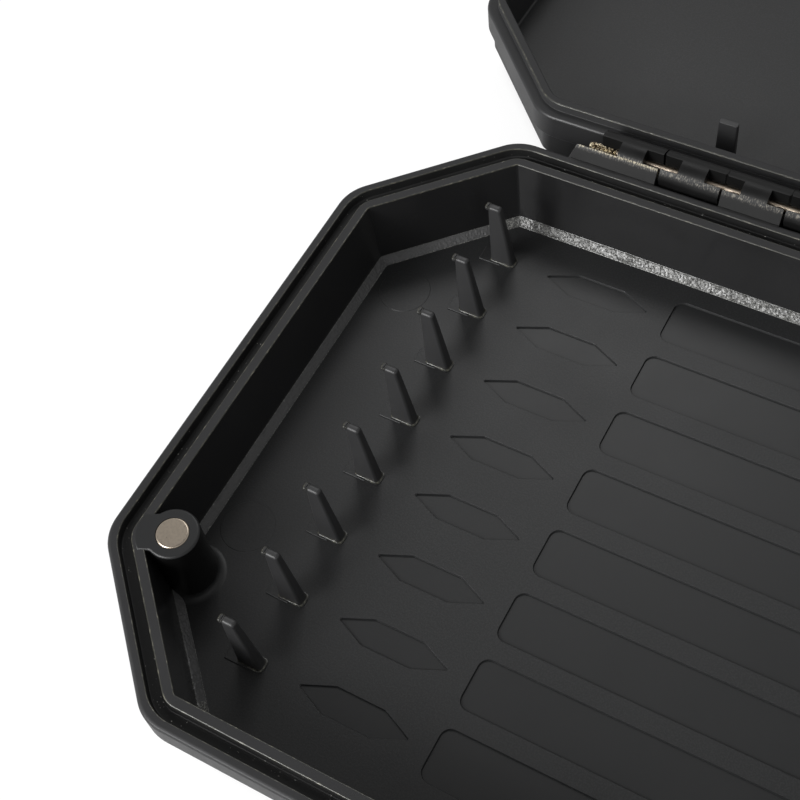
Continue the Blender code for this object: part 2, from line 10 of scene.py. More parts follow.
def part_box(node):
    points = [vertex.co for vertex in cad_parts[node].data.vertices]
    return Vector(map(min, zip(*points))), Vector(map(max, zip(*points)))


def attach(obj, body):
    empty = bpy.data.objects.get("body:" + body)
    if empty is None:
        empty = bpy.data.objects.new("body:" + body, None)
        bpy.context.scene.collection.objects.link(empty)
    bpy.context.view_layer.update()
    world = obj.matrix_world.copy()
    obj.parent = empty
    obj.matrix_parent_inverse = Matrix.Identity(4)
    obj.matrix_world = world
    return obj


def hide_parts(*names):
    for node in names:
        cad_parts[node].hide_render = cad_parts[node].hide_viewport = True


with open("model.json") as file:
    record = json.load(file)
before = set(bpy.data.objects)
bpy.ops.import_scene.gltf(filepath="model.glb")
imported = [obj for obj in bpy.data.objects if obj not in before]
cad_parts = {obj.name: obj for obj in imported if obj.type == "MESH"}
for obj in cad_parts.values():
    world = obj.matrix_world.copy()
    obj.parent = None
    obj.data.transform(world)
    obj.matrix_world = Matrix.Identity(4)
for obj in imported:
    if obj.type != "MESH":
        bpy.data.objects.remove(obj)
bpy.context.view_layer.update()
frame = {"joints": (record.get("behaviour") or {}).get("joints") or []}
TRAY_LOW, TRAY_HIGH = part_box("tray")
PIN_LOW, PIN_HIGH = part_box("hinge_pin")
MAGNET_LOW, MAGNET_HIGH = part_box("tray_magnet_left")
HINGE_POINT = Vector(frame["joints"][0]["pos_m"])
OPEN_RANGE = math.radians(frame["joints"][0]["range_deg"][1])

MM = 0.001
MICRON = 0.000001

# Outline of tray and lid, as in the frame
HALF_LENGTH = TRAY_HIGH.x
HALF_WIDTH = -TRAY_LOW.y
TRAY_HEIGHT = HINGE_POINT.z
HINGE_OFFSET = HINGE_POINT.y - HALF_WIDTH
LID_TILT = OPEN_RANGE - math.pi
CORNER_CUT = 25.2 * MM
CORNER_HALF_TURN = math.radians(22.5)
OUTER_CORNER_SOFT = 8.5 * MM
GROOVE_CORNER_SOFT = 4.5 * MM
INNER_CORNER_SOFT = 0.9 * MM
OUTLINE_STEPS = 10
SECTION_STEPS = 5
SIDES = ((-1, "left"), (1, "right"))

# Section of the tray's wall
TRAY_FLOOR = 2.5 * MM
TRAY_WALL = 2.4 * MM
RIM_BAND = 5.8 * MM
RIM_EDGE_SOFT = 0.8 * MM
BAND_EDGE_SOFT = 0.35 * MM
TRAY_TUCK_SOFT = 0.6 * MM
UNDERSIDE_SOFT = 1.6 * MM
OUTER_LIP = 1.85 * MM
OUTER_LIP_SOFT = 0.2 * MM
GROOVE_WIDTH = 2.4 * MM
GROOVE_DEPTH = 2.0 * MM
GROOVE_DRAFT = 0.1 * MM
GROOVE_FLOOR_SOFT = 0.3 * MM
INNER_LIP = 1.9 * MM
INNER_LIP_SOFT = 0.25 * MM
WALL_EDGE_SOFT = 0.2 * MM
WALL_DRAFT = 1.2 * MM
FLOOR_STRIP = 1.5 * MM
STRIP_TOP_SOFT = 0.12 * MM
STRIP_FOOT_SOFT = 0.1 * MM
RIM_WIDTH = OUTER_LIP + GROOVE_WIDTH + INNER_LIP

# Section of the lid's wall, and the lid's two rests
LID_HEIGHT = 11.94 * MM
LID_ROOF = 2.0 * MM
LID_ROOF_SOFT = 0.5 * MM
LID_FLAT_RING = 3.0 * MM
LID_DRAFT = 0.5 * MM
LID_TUCK = 1.4 * MM
LID_TUCK_SOFT = 0.4 * MM
LID_CORNER_SOFT = 3.5 * MM
LID_EDGE_SOFT = 0.35 * MM
GAP = 0.3 * MM
TONGUE_HEIGHT = 1.5 * MM
TONGUE_ROOT_SOFT = 0.1 * MM
TONGUE_OUTER_SOFT = 0.24 * MM
TONGUE_INNER_SOFT = 0.28 * MM
TONGUE_OUTER = OUTER_LIP + GAP
LID_RIM = OUTER_LIP + GROOVE_WIDTH - GAP
REST_X = 60.5 * MM
REST_Y = 13.35 * MM
REST_LENGTH = 4.2 * MM
REST_THICKNESS = 1.6 * MM
REST_DROP = 0.5 * MM
REST_DRAFT = 0.15 * MM
REST_DRAFT_SHARE = 0.9
REST_EDGE_SOFT = 0.4 * MM
REST_TOP_SOFT = 0.15 * MM

# Line pegs
PEG_COUNT = 8
PEG_PITCH = 13.7 * MM
PEG_ROW_SHIFT = 1.45 * MM
PEG_OUTER_X = 27.35 * MM
PEG_ROOT_LENGTH = 5.0 * MM
PEG_ROOT_WIDTH = 2.3 * MM
PEG_TOP_LENGTH = 2.85 * MM
PEG_TOP_WIDTH = 1.5 * MM
PEG_HEIGHT = 16.0 * MM
PEG_SECTIONS = 5
PEG_LEAN = 0.25 * MM
PEG_EDGE_SOFT = 0.36 * MM
PEG_EDGE_GAIN = 0.18 * MM
PEG_LEAST_SOFT_SHARE = 0.6
PEG_CROWN = 0.6 * MM
PEG_CROWN_SHARE = 0.9
PEG_FLARE = 0.3 * MM
PEG_FLARE_START_SHARE = 0.8
PEG_ROUND_STEPS = 5
PEG_NOTCH = 0.3 * MM
NOTCH_OUTER_SHARE = 0.45
NOTCH_INNER_SHARE = 0.7
BARB_REACH = 0.65 * MM
BARB_DEPTH = 0.9 * MM
BARB_SOFT = 0.3 * MM
BARB_BASE_SHARE = 0.8
BARB_BASE_RISE = 0.02 * MM
BARB_LOW_STEPS = 3
BARB_TOP_STEPS = 4
PEG_FOOT_LENGTH = 2.25 * MM
PEG_FOOT_WIDTH = 3.4 * MM
PEG_FOOT_HEIGHT = 0.26 * MM
PEG_FOOT_CORNER = 0.15 * MM
PEG_FOOT_BEVEL = 0.12 * MM
PEG_FOOT_BEVEL_MIDDLE = 0.04 * MM

# Marks in the floor
LANE_WIDTH = 10.0 * MM
LANE_START_X = 65.2 * MM
LANE_CORNER = 2.0 * MM
MARK_DEPTH = 0.4 * MM
MARK_SLOPE = 0.12 * MM
MARK_EDGE_SOFT = 0.04 * MM
GUIDE_START_X = 39.2 * MM
GUIDE_END_X = 61.2 * MM
GUIDE_WIDTH = 5.4 * MM
GUIDE_POINT = 6.2 * MM
GUIDE_TIP_SOFT = 0.25 * MM
GUIDE_SHOULDER_SOFT = 0.6 * MM
EJECTOR_RADIUS = 5.15 * MM
EJECTOR_SINK = 0.1 * MM
EJECTOR_RISE = 0.07 * MM
EJECTOR_SLOPE = 0.08 * MM
EJECTOR_PLACES = ((15.1 * MM, -24.6 * MM), (15.3 * MM, 34.4 * MM))
CIRCLE_STEPS = 64

# Corner bosses and their discs
MAGNET_RADIUS = (MAGNET_HIGH.x - MAGNET_LOW.x) / 2
MAGNET_THICKNESS = MAGNET_HIGH.z - MAGNET_LOW.z
MAGNET_RECESS = TRAY_HEIGHT - MAGNET_HIGH.z
MAGNET_PROUD = 0.15 * MM
MAGNET_EDGE_SOFT = 0.38 * MM
MAGNET_ROUND_STEPS = 4
BOSS_X = -(MAGNET_HIGH.x + MAGNET_LOW.x) / 2
BOSS_Y = -(MAGNET_HIGH.y + MAGNET_LOW.y) / 2
BOSS_RADIUS = 4.85 * MM
BOSS_WEB_NARROW = 3.15 * MM
BOSS_WEB_WIDE = 4.0 * MM
BOSS_NECK_SOFT = 0.9 * MM
BOSS_NECK_LEAST_SOFT = 0.2 * MM
BOSS_EDGE_SOFT = 0.5 * MM
BOSS_FLARE = 1.35 * MM
BOSS_SINK = 0.05 * MM
BOSS_RISE = 0.1 * MM
BOSS_WEB_SETBACK = 0.2 * MM
BOSS_STEPS = 48
BOSS_ROUND_STEPS = 6
POCKET_GAP = 0.02 * MM
POCKET_SOFT = 0.05 * MM
BEVEL_MIDDLE = 0.3

# Hinge
BARREL_RADIUS = 3.8 * MM
BARREL_STEPS = 28
HINGE_START_X = 36.1 * MM
HINGE_END_SLOPE = 1.6 * MM
FIRST_JOINT_X = HALF_LENGTH - 54.25 * MM
LID_FINGERS = 10
FINGER_GAP = 0.5 * MM
REAR_GAP = 0.08 * MM
FINGER_PITCH = FIRST_JOINT_X * 2 / (LID_FINGERS * 2 - 1)
WINDOW_LENGTH = 7.2 * MM
WINDOW_DEPTH = 2.65 * MM
WINDOW_SEAM = 0.2 * MM
TROUGH_CLOSE_X = 45.5 * MM
TROUGH_DEPTH = 2.8 * MM
REAR_BARREL_X = 41.3 * MM
GUSSET_DROP = 5.4 * MM
ROOT_FILLET = 0.12 * MM
ROOT_LIFT = 0.01 * MM
RAMP_SETBACK = 0.25 * MM
TAB_EDGE_HEIGHT = 0.6 * MM
TAB_EDGE_DROP = 1.8 * MM
TAB_EDGE_SETBACK = 0.6 * MM
FINGER_EDGE_SOFT = 0.14 * MM
PIN_RADIUS = 0.75 * MM
PIN_END_SOFT = 0.3 * MM
PIN_ROUND_STEPS = 5
KNURL_START = 0.42 * MM
KNURL_LENGTH = 5.8 * MM
KNURL_DEPTH = 0.2 * MM
KNURL_TEETH = 7
KNURL_TOOTH_POINTS = 8
KNURL_STATIONS = 80
KNURL_FADE_STATIONS = 3
KNURL_TURNS_PER_MM = 1.25
KNURL_HEIGHT_SPAN = 1.6
KNURL_HEIGHT_DROP = 0.6

OVERRUN = 1.0 * MM
BITE = 0.9 * MM

HINGE_MATRIX = Matrix.Translation(HINGE_POINT)
LID_TURN = Matrix.Rotation(-LID_TILT, 4, "X")
ACROSS = Matrix(((0, 0, 1, 0), (1, 0, 0, 0), (0, 1, 0, 0), (0, 0, 0, 1)))
UPRIGHT = Matrix(((1, 0, 0, 0), (0, 0, -1, 0), (0, 1, 0, 0), (0, 0, 0, 1)))

# Mesh clean-up and shading
SAME_POINT = 1e-7
SAME_POINT_AFTER_CUT = 2e-6
FLAT_ANGLE = math.radians(0.5)
BEVEL_ANGLE = math.radians(35)
SHARP_ANGLE = math.radians(40)
SHADING_WEIGHT = 80

# Finishes of the plastic, in the order of the material slots of both mouldings
SIDE, LIP, GROOVE, WALL, STRIP, LEDGE, FLOOR, LANE, HINGE, EDGE, PEG, SHADE = range(12)

# Patterns in the finishes
NOISE_SPAN = (0.3, 0.7)
CLOUD_SCALE = 60
WAVE_SCALE = 40
SPECK_FADE = 0.05
# Strokes of the painted highlight on rounded edges
EDGE_HIGHLIGHT_SCALE = 4200
EDGE_HIGHLIGHT_SPAN = (0.5, 0.72)
PATCH_SCALE = 420
PATCH_SPAN = (0.35, 0.65)
PATCH_LEVELS = (0.2, 1)
METAL_SCALE = 1800
METAL_SPAN = (0.4, 0.55)

# Painted highlight band on the barrels' crowns, by its distance in front of the hinge axis
HIGHLIGHT_FRONT = 3.05 * MM
HIGHLIGHT_BACK = 2.65 * MM
HIGHLIGHT_FADE = 0.35 * MM
HIGHLIGHT_HEIGHT_FADE = 1.0 * MM
HIGHLIGHT_SCALE = 4600
HIGHLIGHT_STRETCH = (1, 0.4, 0.4)
HIGHLIGHT_SPAN = (0.5, 0.66)
HIGHLIGHT_COLOUR = (0.21, 0.195, 0.165)
# Painted golden glint in the band on the end fingers, the pin's reflected light
GLINT_START_X = 100.0 * MM
GLINT_FADE_X = 5.0 * MM
GLINT_SPAN = (0.42, 0.54)
GLINT_COLOUR = (0.85, 0.74, 0.52)
BARREL_CLOUD_SCALE = 160

# Rough texture of the sloping strip at the foot of the tray's walls
STRIP_SEED = 4
STRIP_CELL = 0.32 * MM
STRIP_ROWS = 7
STRIP_ROUGHNESS = 0.14 * MM
STRIP_SINK = 0.04 * MM
STRIP_ROW_SHIFT = 0.5
STRIP_TURN = 2.5 * MM

# Stage, light and camera
GROUND_SIZE = 3.0
GROUND_DROP = 0.05 * MM
GROUND_GREY = 0.8
GROUND_SHADE_REACH = 15 * MM
GROUND_OPENNESS = (0.12, 0.45)
GROUND_GLOW = (0.02, 1.12)
GROUND_GLOW_SHARE = 0.8
SKY_LEVELS = ((0.0, 0.4), (0.5, 0.38), (0.75, 0.35), (0.92, 0.16), (1.0, 0.12))
LIGHT_TARGET = Vector((-0.12, 0, 0))
LIGHTS = (
    ("front_softbox", (-0.62, -0.89, 0.64), (1.0, 0.8), 10.5),
    ("front_lamp", (-0.61, -0.88, 0.63), (0.3, 0.3), 4.2),
    ("back_softbox", (-0.43, 0.7, 0.96), (0.42, 0.3), 1.52),
)
CAMERA_LENS = 65.65
CAMERA_SENSOR = 36
CAMERA_PLACE = (122.8 * MM - HALF_LENGTH, -107.5 * MM, TRAY_HEIGHT + 216.6 * MM)
CAMERA_TURN = (32.7746, 6.3378, 29.1334)


# Materials

def feed(tree, target, inputs):
    """Link each input of a node to an output, or set it to a plain value."""
    for name, value in inputs.items():
        if isinstance(value, bpy.types.NodeSocket):
            tree.links.new(value, target.inputs[name])
        else:
            target.inputs[name].default_value = value


def node(tree, kind, inputs, output, **settings):
    """Add a shader node and return one of its outputs."""
    made = tree.nodes.new("ShaderNode" + kind)
    for name, value in settings.items():
        setattr(made, name, value)
    feed(tree, made, inputs)
    return made.outputs[output]


def noise(tree, coords, scale, detail, rough=0.5, stretch=None):
    if stretch:
        coords = node(tree, "Mapping", {"Vector": coords, "Scale": stretch}, "Vector")
    return node(tree, "TexNoise", {"Vector": coords, "Scale": scale, "Detail": detail,
                                   "Roughness": rough}, "Fac")


def spread(tree, value, span, onto=(0, 1)):
    """Map a span of values on to another span."""
    return node(tree, "MapRange", {"Value": value, "From Min": span[0], "From Max": span[1],
                                   "To Min": onto[0], "To Max": onto[1]}, "Result")


def blend(tree, factor, below, above):
    """Lay a colour over another one where the factor is high."""
    if not isinstance(below, bpy.types.NodeSocket):
        below = (*below, 1)
    return node(tree, "Mix", {"Factor": factor, "A": below, "B": (*above, 1)}, "Result",
                data_type="RGBA")


def product(tree, first, *others):
    result = first
    for value in others:
        result = node(tree, "Math", {0: result, 1: value}, "Value", operation="MULTIPLY")
    return result


def bump(tree, height, distance, below=None):
    inputs = {"Strength": 1.0, "Distance": distance, "Height": height}
    if below:
        inputs["Normal"] = below
    return node(tree, "Bump", inputs, "Normal")


def new_material(name):
    material = bpy.data.materials.new(name)
    material.use_nodes = True
    tree = material.node_tree
    return material, tree, tree.nodes["Principled BSDF"]


def object_coords(tree):
    return node(tree, "TexCoord", {}, "Object")


def coat(tree, shader, colour, rough, normal, shine=0.5, metallic=0.0):
    feed(tree, shader, {"Base Color": colour, "Roughness": rough, "Normal": normal,
                        "Specular IOR Level": shine, "Metallic": metallic})


def plastic(name, dark, light, rough, grain, wave=0.0, shine=0.5, dust_and_glints=None):
    """Black moulded plastic: mottled colour and gloss, a fine grain, waviness and specks.

    Grain is the scale and height of the bumps, dust_and_glints the scale, threshold and colour
    of specks: dust specks in most finishes, painted glints on the strip.
    """
    material, tree, shader = new_material(name)
    coords = object_coords(tree)
    cloud = noise(tree, coords, CLOUD_SCALE, detail=3)
    colour = blend(tree, spread(tree, cloud, NOISE_SPAN), dark, light)
    # Light specks: dust in the groove and on the floor, painted glints on the strip
    if dust_and_glints:
        speck_scale, level, tint = dust_and_glints
        specks = noise(tree, coords, speck_scale, detail=1)
        colour = blend(tree, spread(tree, specks, (level, level + SPECK_FADE)), colour, tint)
    grain_scale, grain_height = grain
    normal = bump(tree, noise(tree, coords, grain_scale, detail=3, rough=0.6), grain_height)
    if wave:
        normal = bump(tree, noise(tree, coords, WAVE_SCALE, detail=1), wave, normal)
    coat(tree, shader, colour, spread(tree, cloud, NOISE_SPAN, rough), normal, shine)
    return material


def edge_highlight_plastic(name, dark, light, rough, stretch, relief, shine):
    """Edge plastic: short strokes in one direction, lighter (a painted highlight) and glossier.
    """
    material, tree, shader = new_material(name)
    coords = object_coords(tree)
    strokes = noise(tree, coords, EDGE_HIGHLIGHT_SCALE, detail=2, rough=0.6, stretch=stretch)
    patches = noise(tree, coords, PATCH_SCALE, detail=2)
    painted_highlight = product(tree, spread(tree, strokes, EDGE_HIGHLIGHT_SPAN),
                   spread(tree, patches, PATCH_SPAN, PATCH_LEVELS))
    coat(tree, shader, blend(tree, painted_highlight, dark, light), spread(tree, strokes, NOISE_SPAN, rough),
         bump(tree, strokes, relief), shine)
    return material


def barrel_plastic(name, dark, light, rough, relief, shine):
    """Smooth hinge plastic, a painted highlight band along the front of each barrel's crown."""
    material, tree, shader = new_material(name)
    coords = object_coords(tree)
    along, across, up = (node(tree, "SeparateXYZ", {"Vector": coords}, axis) for axis in "XYZ")
    strokes = noise(tree, coords, HIGHLIGHT_SCALE, detail=2, rough=0.6, stretch=HIGHLIGHT_STRETCH)
    from_middle = node(tree, "Math", {0: along}, "Value", operation="ABSOLUTE")
    at_end = spread(tree, from_middle, (GLINT_START_X, GLINT_START_X + GLINT_FADE_X))
    band = product(tree, spread(tree, across, (-HIGHLIGHT_FRONT - HIGHLIGHT_FADE, -HIGHLIGHT_FRONT)),
                   spread(tree, across, (-HIGHLIGHT_BACK, -HIGHLIGHT_BACK + HIGHLIGHT_FADE), (1, 0)),
                   spread(tree, up, (0, HIGHLIGHT_HEIGHT_FADE)))
    core = product(tree, spread(tree, across, (-HIGHLIGHT_FRONT, -HIGHLIGHT_FRONT + HIGHLIGHT_FADE)),
                   spread(tree, across, (-HIGHLIGHT_BACK - HIGHLIGHT_FADE / 2, -HIGHLIGHT_BACK), (1, 0)),
                   at_end, band)
    cloud = noise(tree, coords, BARREL_CLOUD_SCALE, detail=3)
    # Lighter strokes in the band: painted highlight; golden strokes at the ends: painted glint
    painted_band = product(tree, spread(tree, strokes, HIGHLIGHT_SPAN), band)
    painted_glint = product(tree, spread(tree, strokes, GLINT_SPAN), core)
    colour = blend(tree, spread(tree, cloud, NOISE_SPAN), dark, light)
    colour = blend(tree, painted_band, colour, HIGHLIGHT_COLOUR)
    colour = blend(tree, painted_glint, colour, GLINT_COLOUR)
    coat(tree, shader, colour, spread(tree, cloud, NOISE_SPAN, rough),
         bump(tree, strokes, relief), shine)
    return material


def metal(name, dark, light, rough, stretch, relief):
    """Bare metal with drawn lines or mottling; on the knurl, painted glints and shade."""
    material, tree, shader = new_material(name)
    lines = noise(tree, object_coords(tree), METAL_SCALE, detail=3, rough=0.6, stretch=stretch)
    coat(tree, shader, blend(tree, spread(tree, lines, METAL_SPAN), dark, light),
         spread(tree, lines, NOISE_SPAN, rough), bump(tree, lines, relief), metallic=1.0)
    return material


def mouldings():
    """Finishes of the plastic in the order of their slots, from SIDE to SHADE."""
    return [
        plastic("plastic_side", (0.022, 0.022, 0.023), (0.028, 0.028, 0.029),
                rough=(0.34, 0.42), grain=(9000, 6 * MICRON)),
        plastic("plastic_lip", (0.025, 0.025, 0.026), (0.031, 0.031, 0.032),
                rough=(0.52, 0.6), grain=(6000, 10 * MICRON), shine=0.35),
        plastic("plastic_groove", (0.014, 0.014, 0.014), (0.022, 0.022, 0.022),
                rough=(0.4, 0.6), grain=(5000, 12 * MICRON), shine=0.3,
                dust_and_glints=(2600, 0.745, (0.5, 0.49, 0.46))),
        plastic("plastic_wall", (0.0155, 0.0155, 0.016), (0.02, 0.02, 0.0205),
                rough=(0.16, 0.25), grain=(6000, 4 * MICRON), wave=80 * MICRON),
        # Strip: its light specks are painted glints, the sparkle of its spark-eroded facets
        plastic("plastic_strip", (0.04, 0.04, 0.039), (0.06, 0.06, 0.058),
                rough=(0.27, 0.35), grain=(3600, 10 * MICRON), shine=0.7,
                dust_and_glints=(4600, 0.52, (0.22, 0.22, 0.205))),
        # Ledge: calm copy of the strip for its end runs, painted lighter, no painted glints
        plastic("plastic_ledge", (0.085, 0.085, 0.086), (0.105, 0.105, 0.105),
                rough=(0.36, 0.46), grain=(3600, 10 * MICRON)),
        plastic("plastic_floor", (0.0175, 0.018, 0.0185), (0.0195, 0.02, 0.0205),
                rough=(0.4, 0.45), grain=(2500, 16 * MICRON),
                dust_and_glints=(3200, 0.5, (0.025, 0.0255, 0.026))),
        plastic("plastic_lane", (0.0165, 0.017, 0.0175), (0.018, 0.0185, 0.019),
                rough=(0.38, 0.42), grain=(7000, 10 * MICRON)),
        # Hinge: painted highlight band on the crowns, painted golden glint at the end fingers
        barrel_plastic("plastic_hinge", (0.008, 0.008, 0.008), (0.012, 0.012, 0.012),
                       rough=(0.34, 0.46), relief=4 * MICRON, shine=0.26),
        # Edge: lighter strokes, a painted highlight along rounded edges
        edge_highlight_plastic("plastic_edge", (0.03, 0.03, 0.024), (0.23, 0.22, 0.17),
                rough=(0.4, 0.22), stretch=(0.3, 0.3, 1), relief=20 * MICRON, shine=0.7),
        plastic("plastic_peg", (0.034, 0.034, 0.035), (0.044, 0.044, 0.045),
                rough=(0.36, 0.46), grain=(4000, 10 * MICRON)),
        # Boss: near-black painted shade for the sides of the bosses and their pockets
        plastic("plastic_boss_painted_shade", (0.004, 0.004, 0.004), (0.007, 0.007, 0.007),
                rough=(0.3, 0.4), grain=(4000, 6 * MICRON), shine=0.3),
    ]


# Mesh building

def add_object(name, data):
    made = bpy.data.objects.new(name, data)
    bpy.context.scene.collection.objects.link(made)
    return made


def remove(*pieces):
    for piece in pieces:
        bpy.data.objects.remove(piece, do_unlink=True)


def shade(mesh, sharp=SHARP_ANGLE):
    mesh.shade_smooth()
    mesh.set_sharp_from_angle(angle=sharp)


def new_piece(name, shape, materials, sharp=SHARP_ANGLE):
    bmesh.ops.remove_doubles(shape, verts=shape.verts, dist=SAME_POINT)
    bmesh.ops.recalc_face_normals(shape, faces=shape.faces)
    mesh = bpy.data.meshes.new(name)
    shape.to_mesh(mesh)
    shape.free()
    for material in materials:
        mesh.materials.append(material)
    shade(mesh, sharp)
    return add_object(name, mesh)


def place(piece, body, cad_node, matrix=None):
    if matrix is not None:
        piece.matrix_world = matrix
    modifier = piece.modifiers.new("even_shading", "WEIGHTED_NORMAL")
    modifier.keep_sharp = True
    modifier.weight = SHADING_WEIGHT
    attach(piece, body)
    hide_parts(cad_node)


def place_on_tray(piece, matrix=None):
    place(piece, "tray_body", "tray", matrix)


def place_on_lid(piece, matrix=None):
    place(piece, "lid_body", "lid", matrix)


def quarter_round(steps):
    """Rise and fall along a quarter circle: from (0, 1) to (1, 0)."""
    angles = [math.pi / 2 * step / steps for step in range(steps + 1)]
    return [(1 - math.cos(a), 1 - math.sin(a)) for a in angles]


def corner_arc(before, corner, after, radius, steps):
    x, y = corner
    if radius == 0:
        return [corner]
    start_angle = math.atan2(y - before[1], x - before[0])
    end_angle = math.atan2(after[1] - y, after[0] - x)
    turn = math.remainder(end_angle - start_angle, math.tau)
    tangent = radius * math.tan(abs(turn) / 2)
    side = math.copysign(radius, turn)
    centre_x = x - tangent * math.cos(start_angle) - side * math.sin(start_angle)
    centre_y = y - tangent * math.sin(start_angle) + side * math.cos(start_angle)
    angles = [start_angle + turn * step / steps for step in range(steps + 1)]
    return [(centre_x + side * math.sin(a), centre_y - side * math.cos(a)) for a in angles]


def soften(corners, radii, steps):
    """Round each corner of a closed outline with an arc of its own radius."""
    points = []
    count = len(corners)
    for index, corner in enumerate(corners):
        after = corners[(index + 1) % count]
        points += corner_arc(corners[index - 1], corner, after, radii[index], steps)
    return points


def circle(radius, steps=CIRCLE_STEPS, x=0.0, y=0.0):
    angles = [math.tau * step / steps for step in range(steps)]
    return [(x + radius * math.cos(a), y + radius * math.sin(a)) for a in angles]


def block(low_x, high_x, low_y, high_y):
    return [(low_x, low_y), (high_x, low_y), (high_x, high_y), (low_x, high_y)]


def rectangle(low_x, high_x, half, radius):
    return soften(block(low_x, high_x, -half, half), [radius] * 4, steps=4)


def corner_cut(inset):
    """Leg of the octagon's corner cut, with all eight sides moved in by the inset."""
    return CORNER_CUT - inset * (2 - math.sqrt(2))


def octagon(inset, soft):
    half_x = HALF_LENGTH - inset
    half_y = HALF_WIDTH - inset
    cut = corner_cut(inset)
    corners = [
        (half_x, half_y - cut), (half_x - cut, half_y),
        (cut - half_x, half_y), (-half_x, half_y - cut),
        (-half_x, cut - half_y), (cut - half_x, -half_y),
        (half_x - cut, -half_y), (half_x, cut - half_y),
    ]
    return soften(corners, [soft] * len(corners), OUTLINE_STEPS)


def section_line(corners):
    """Round the corners of an open section.

    A corner is (inset, height, radius, plan softness, finish past it), and EDGE after these
    gives its arc the edge finish, whose lighter strokes are a painted highlight.
    """
    line = []
    for index, (inset, height, radius, soft, finish, *edge) in enumerate(corners):
        if index in (0, len(corners) - 1):
            line.append((inset, height, soft, finish))
            continue
        before = corners[index - 1]
        arc = corner_arc(before[:2], (inset, height), corners[index + 1][:2], radius,
                         SECTION_STEPS)
        for step, (x, z) in enumerate(arc):
            if edge and step < len(arc) - 1:
                mark = edge[0]
            elif step < len(arc) / 2 and len(arc) > 1:
                mark = before[4]
            else:
                mark = finish
            line.append((x, z, soft, mark))
    return line


def skin(shape, rings, finishes):
    """Join rings of as many points each, and close both ends."""
    for low, high, finish in zip(rings, rings[1:], finishes):
        count = len(low)
        for at in range(count):
            after = (at + 1) % count
            face = shape.faces.new((low[at], low[after], high[after], high[at]))
            face.material_index = finish
    shape.faces.new(rings[0]).material_index = finishes[0]
    shape.faces.new(rings[-1]).material_index = finishes[-1]


def stack(shape, layers, finishes):
    """Skin matching outlines, each with its height, into one closed form."""
    rings = []
    for outline, height in layers:
        rings.append([shape.verts.new((x, y, height)) for x, y in outline])
    skin(shape, rings, finishes)


def stacked_piece(name, layers, finishes, materials):
    shape = bmesh.new()
    stack(shape, layers, finishes)
    return new_piece(name, shape, materials)


def loft(name, line, materials):
    """Skin the box outline along a section line and close both ends."""
    layers = [(octagon(inset, soft), height) for inset, height, soft, _ in line]
    return stacked_piece(name, layers, [finish for *_, finish in line], materials)


def extrude_outline(shape, outline, start, end, matrix, finish):
    """Pull an outline into a closed form and return the points at its start."""
    near = [shape.verts.new((x, y, start)) for x, y in outline]
    pulled = bmesh.ops.extrude_face_region(shape, geom=[shape.faces.new(near)])
    far = [item for item in pulled["geom"] if isinstance(item, bmesh.types.BMVert)]
    bmesh.ops.translate(shape, verts=far, vec=(0, 0, end - start))
    bmesh.ops.transform(shape, verts=near + far, matrix=matrix)
    for face in shape.faces:
        face.material_index = finish
    return near


def combine(target, others, operation):
    """Join or cut with other forms, and keep the result as the mesh."""
    for other in others:
        modifier = target.modifiers.new("combine", "BOOLEAN")
        modifier.operation = operation
        modifier.solver = "EXACT"
        modifier.object = other
    graph = bpy.context.evaluated_depsgraph_get()
    mesh = bpy.data.meshes.new_from_object(target.evaluated_get(graph))
    target.modifiers.clear()
    target.data = mesh
    remove(*others)
    return target


def ease_edges(piece):
    """Round the sharp outward edges of a hinge finger in its mesh."""
    shape = bmesh.new()
    shape.from_mesh(piece.data)
    bmesh.ops.remove_doubles(shape, verts=shape.verts, dist=SAME_POINT_AFTER_CUT)
    bmesh.ops.dissolve_limit(shape, angle_limit=FLAT_ANGLE, verts=shape.verts,
                             edges=shape.edges, delimit={"MATERIAL"})
    sharp = [edge for edge in shape.edges if len(edge.link_faces) == 2
             and edge.calc_face_angle(0) > BEVEL_ANGLE and edge.is_convex]
    bmesh.ops.bevel(shape, geom=sharp, offset=FINGER_EDGE_SOFT, offset_type="OFFSET", segments=3,
                    profile=0.5, affect="EDGES", clamp_overlap=True, material=-1)
    shape.to_mesh(piece.data)
    shape.free()
    shade(piece.data)


# Tray

def tray_line():
    tuck = RIM_WIDTH - TRAY_WALL
    under_band = TRAY_HEIGHT - RIM_BAND
    groove_inner = OUTER_LIP + GROOVE_WIDTH
    groove_floor = TRAY_HEIGHT - GROOVE_DEPTH
    wall_foot = RIM_WIDTH + WALL_DRAFT
    outer = OUTER_CORNER_SOFT
    middle = GROOVE_CORNER_SOFT
    inner = INNER_CORNER_SOFT
    return section_line([
        (tuck + UNDERSIDE_SOFT * 2, 0, 0, middle, SIDE),
        (tuck, 0, UNDERSIDE_SOFT, middle, SIDE),
        (tuck, under_band - tuck / 2, TRAY_TUCK_SOFT, middle, SIDE),
        (0, under_band, BAND_EDGE_SOFT, outer, SIDE),
        (0, TRAY_HEIGHT, RIM_EDGE_SOFT, outer, LIP),
        # EDGE on these arcs: painted highlight strokes along the rim's edges
        (OUTER_LIP, TRAY_HEIGHT, OUTER_LIP_SOFT, outer, GROOVE, EDGE),
        (OUTER_LIP + GROOVE_DRAFT, groove_floor, GROOVE_FLOOR_SOFT, outer, GROOVE),
        (groove_inner - GROOVE_DRAFT, groove_floor, GROOVE_FLOOR_SOFT, middle, GROOVE),
        (groove_inner, TRAY_HEIGHT, INNER_LIP_SOFT, middle, LIP, EDGE),
        (RIM_WIDTH, TRAY_HEIGHT, WALL_EDGE_SOFT, inner, WALL, EDGE),
        (wall_foot, TRAY_FLOOR + FLOOR_STRIP, STRIP_TOP_SOFT, inner, STRIP),
        (wall_foot + FLOOR_STRIP, TRAY_FLOOR, STRIP_FOOT_SOFT, inner, FLOOR),
        (wall_foot + FLOOR_STRIP * 2, TRAY_FLOOR, 0, inner, FLOOR),
    ])


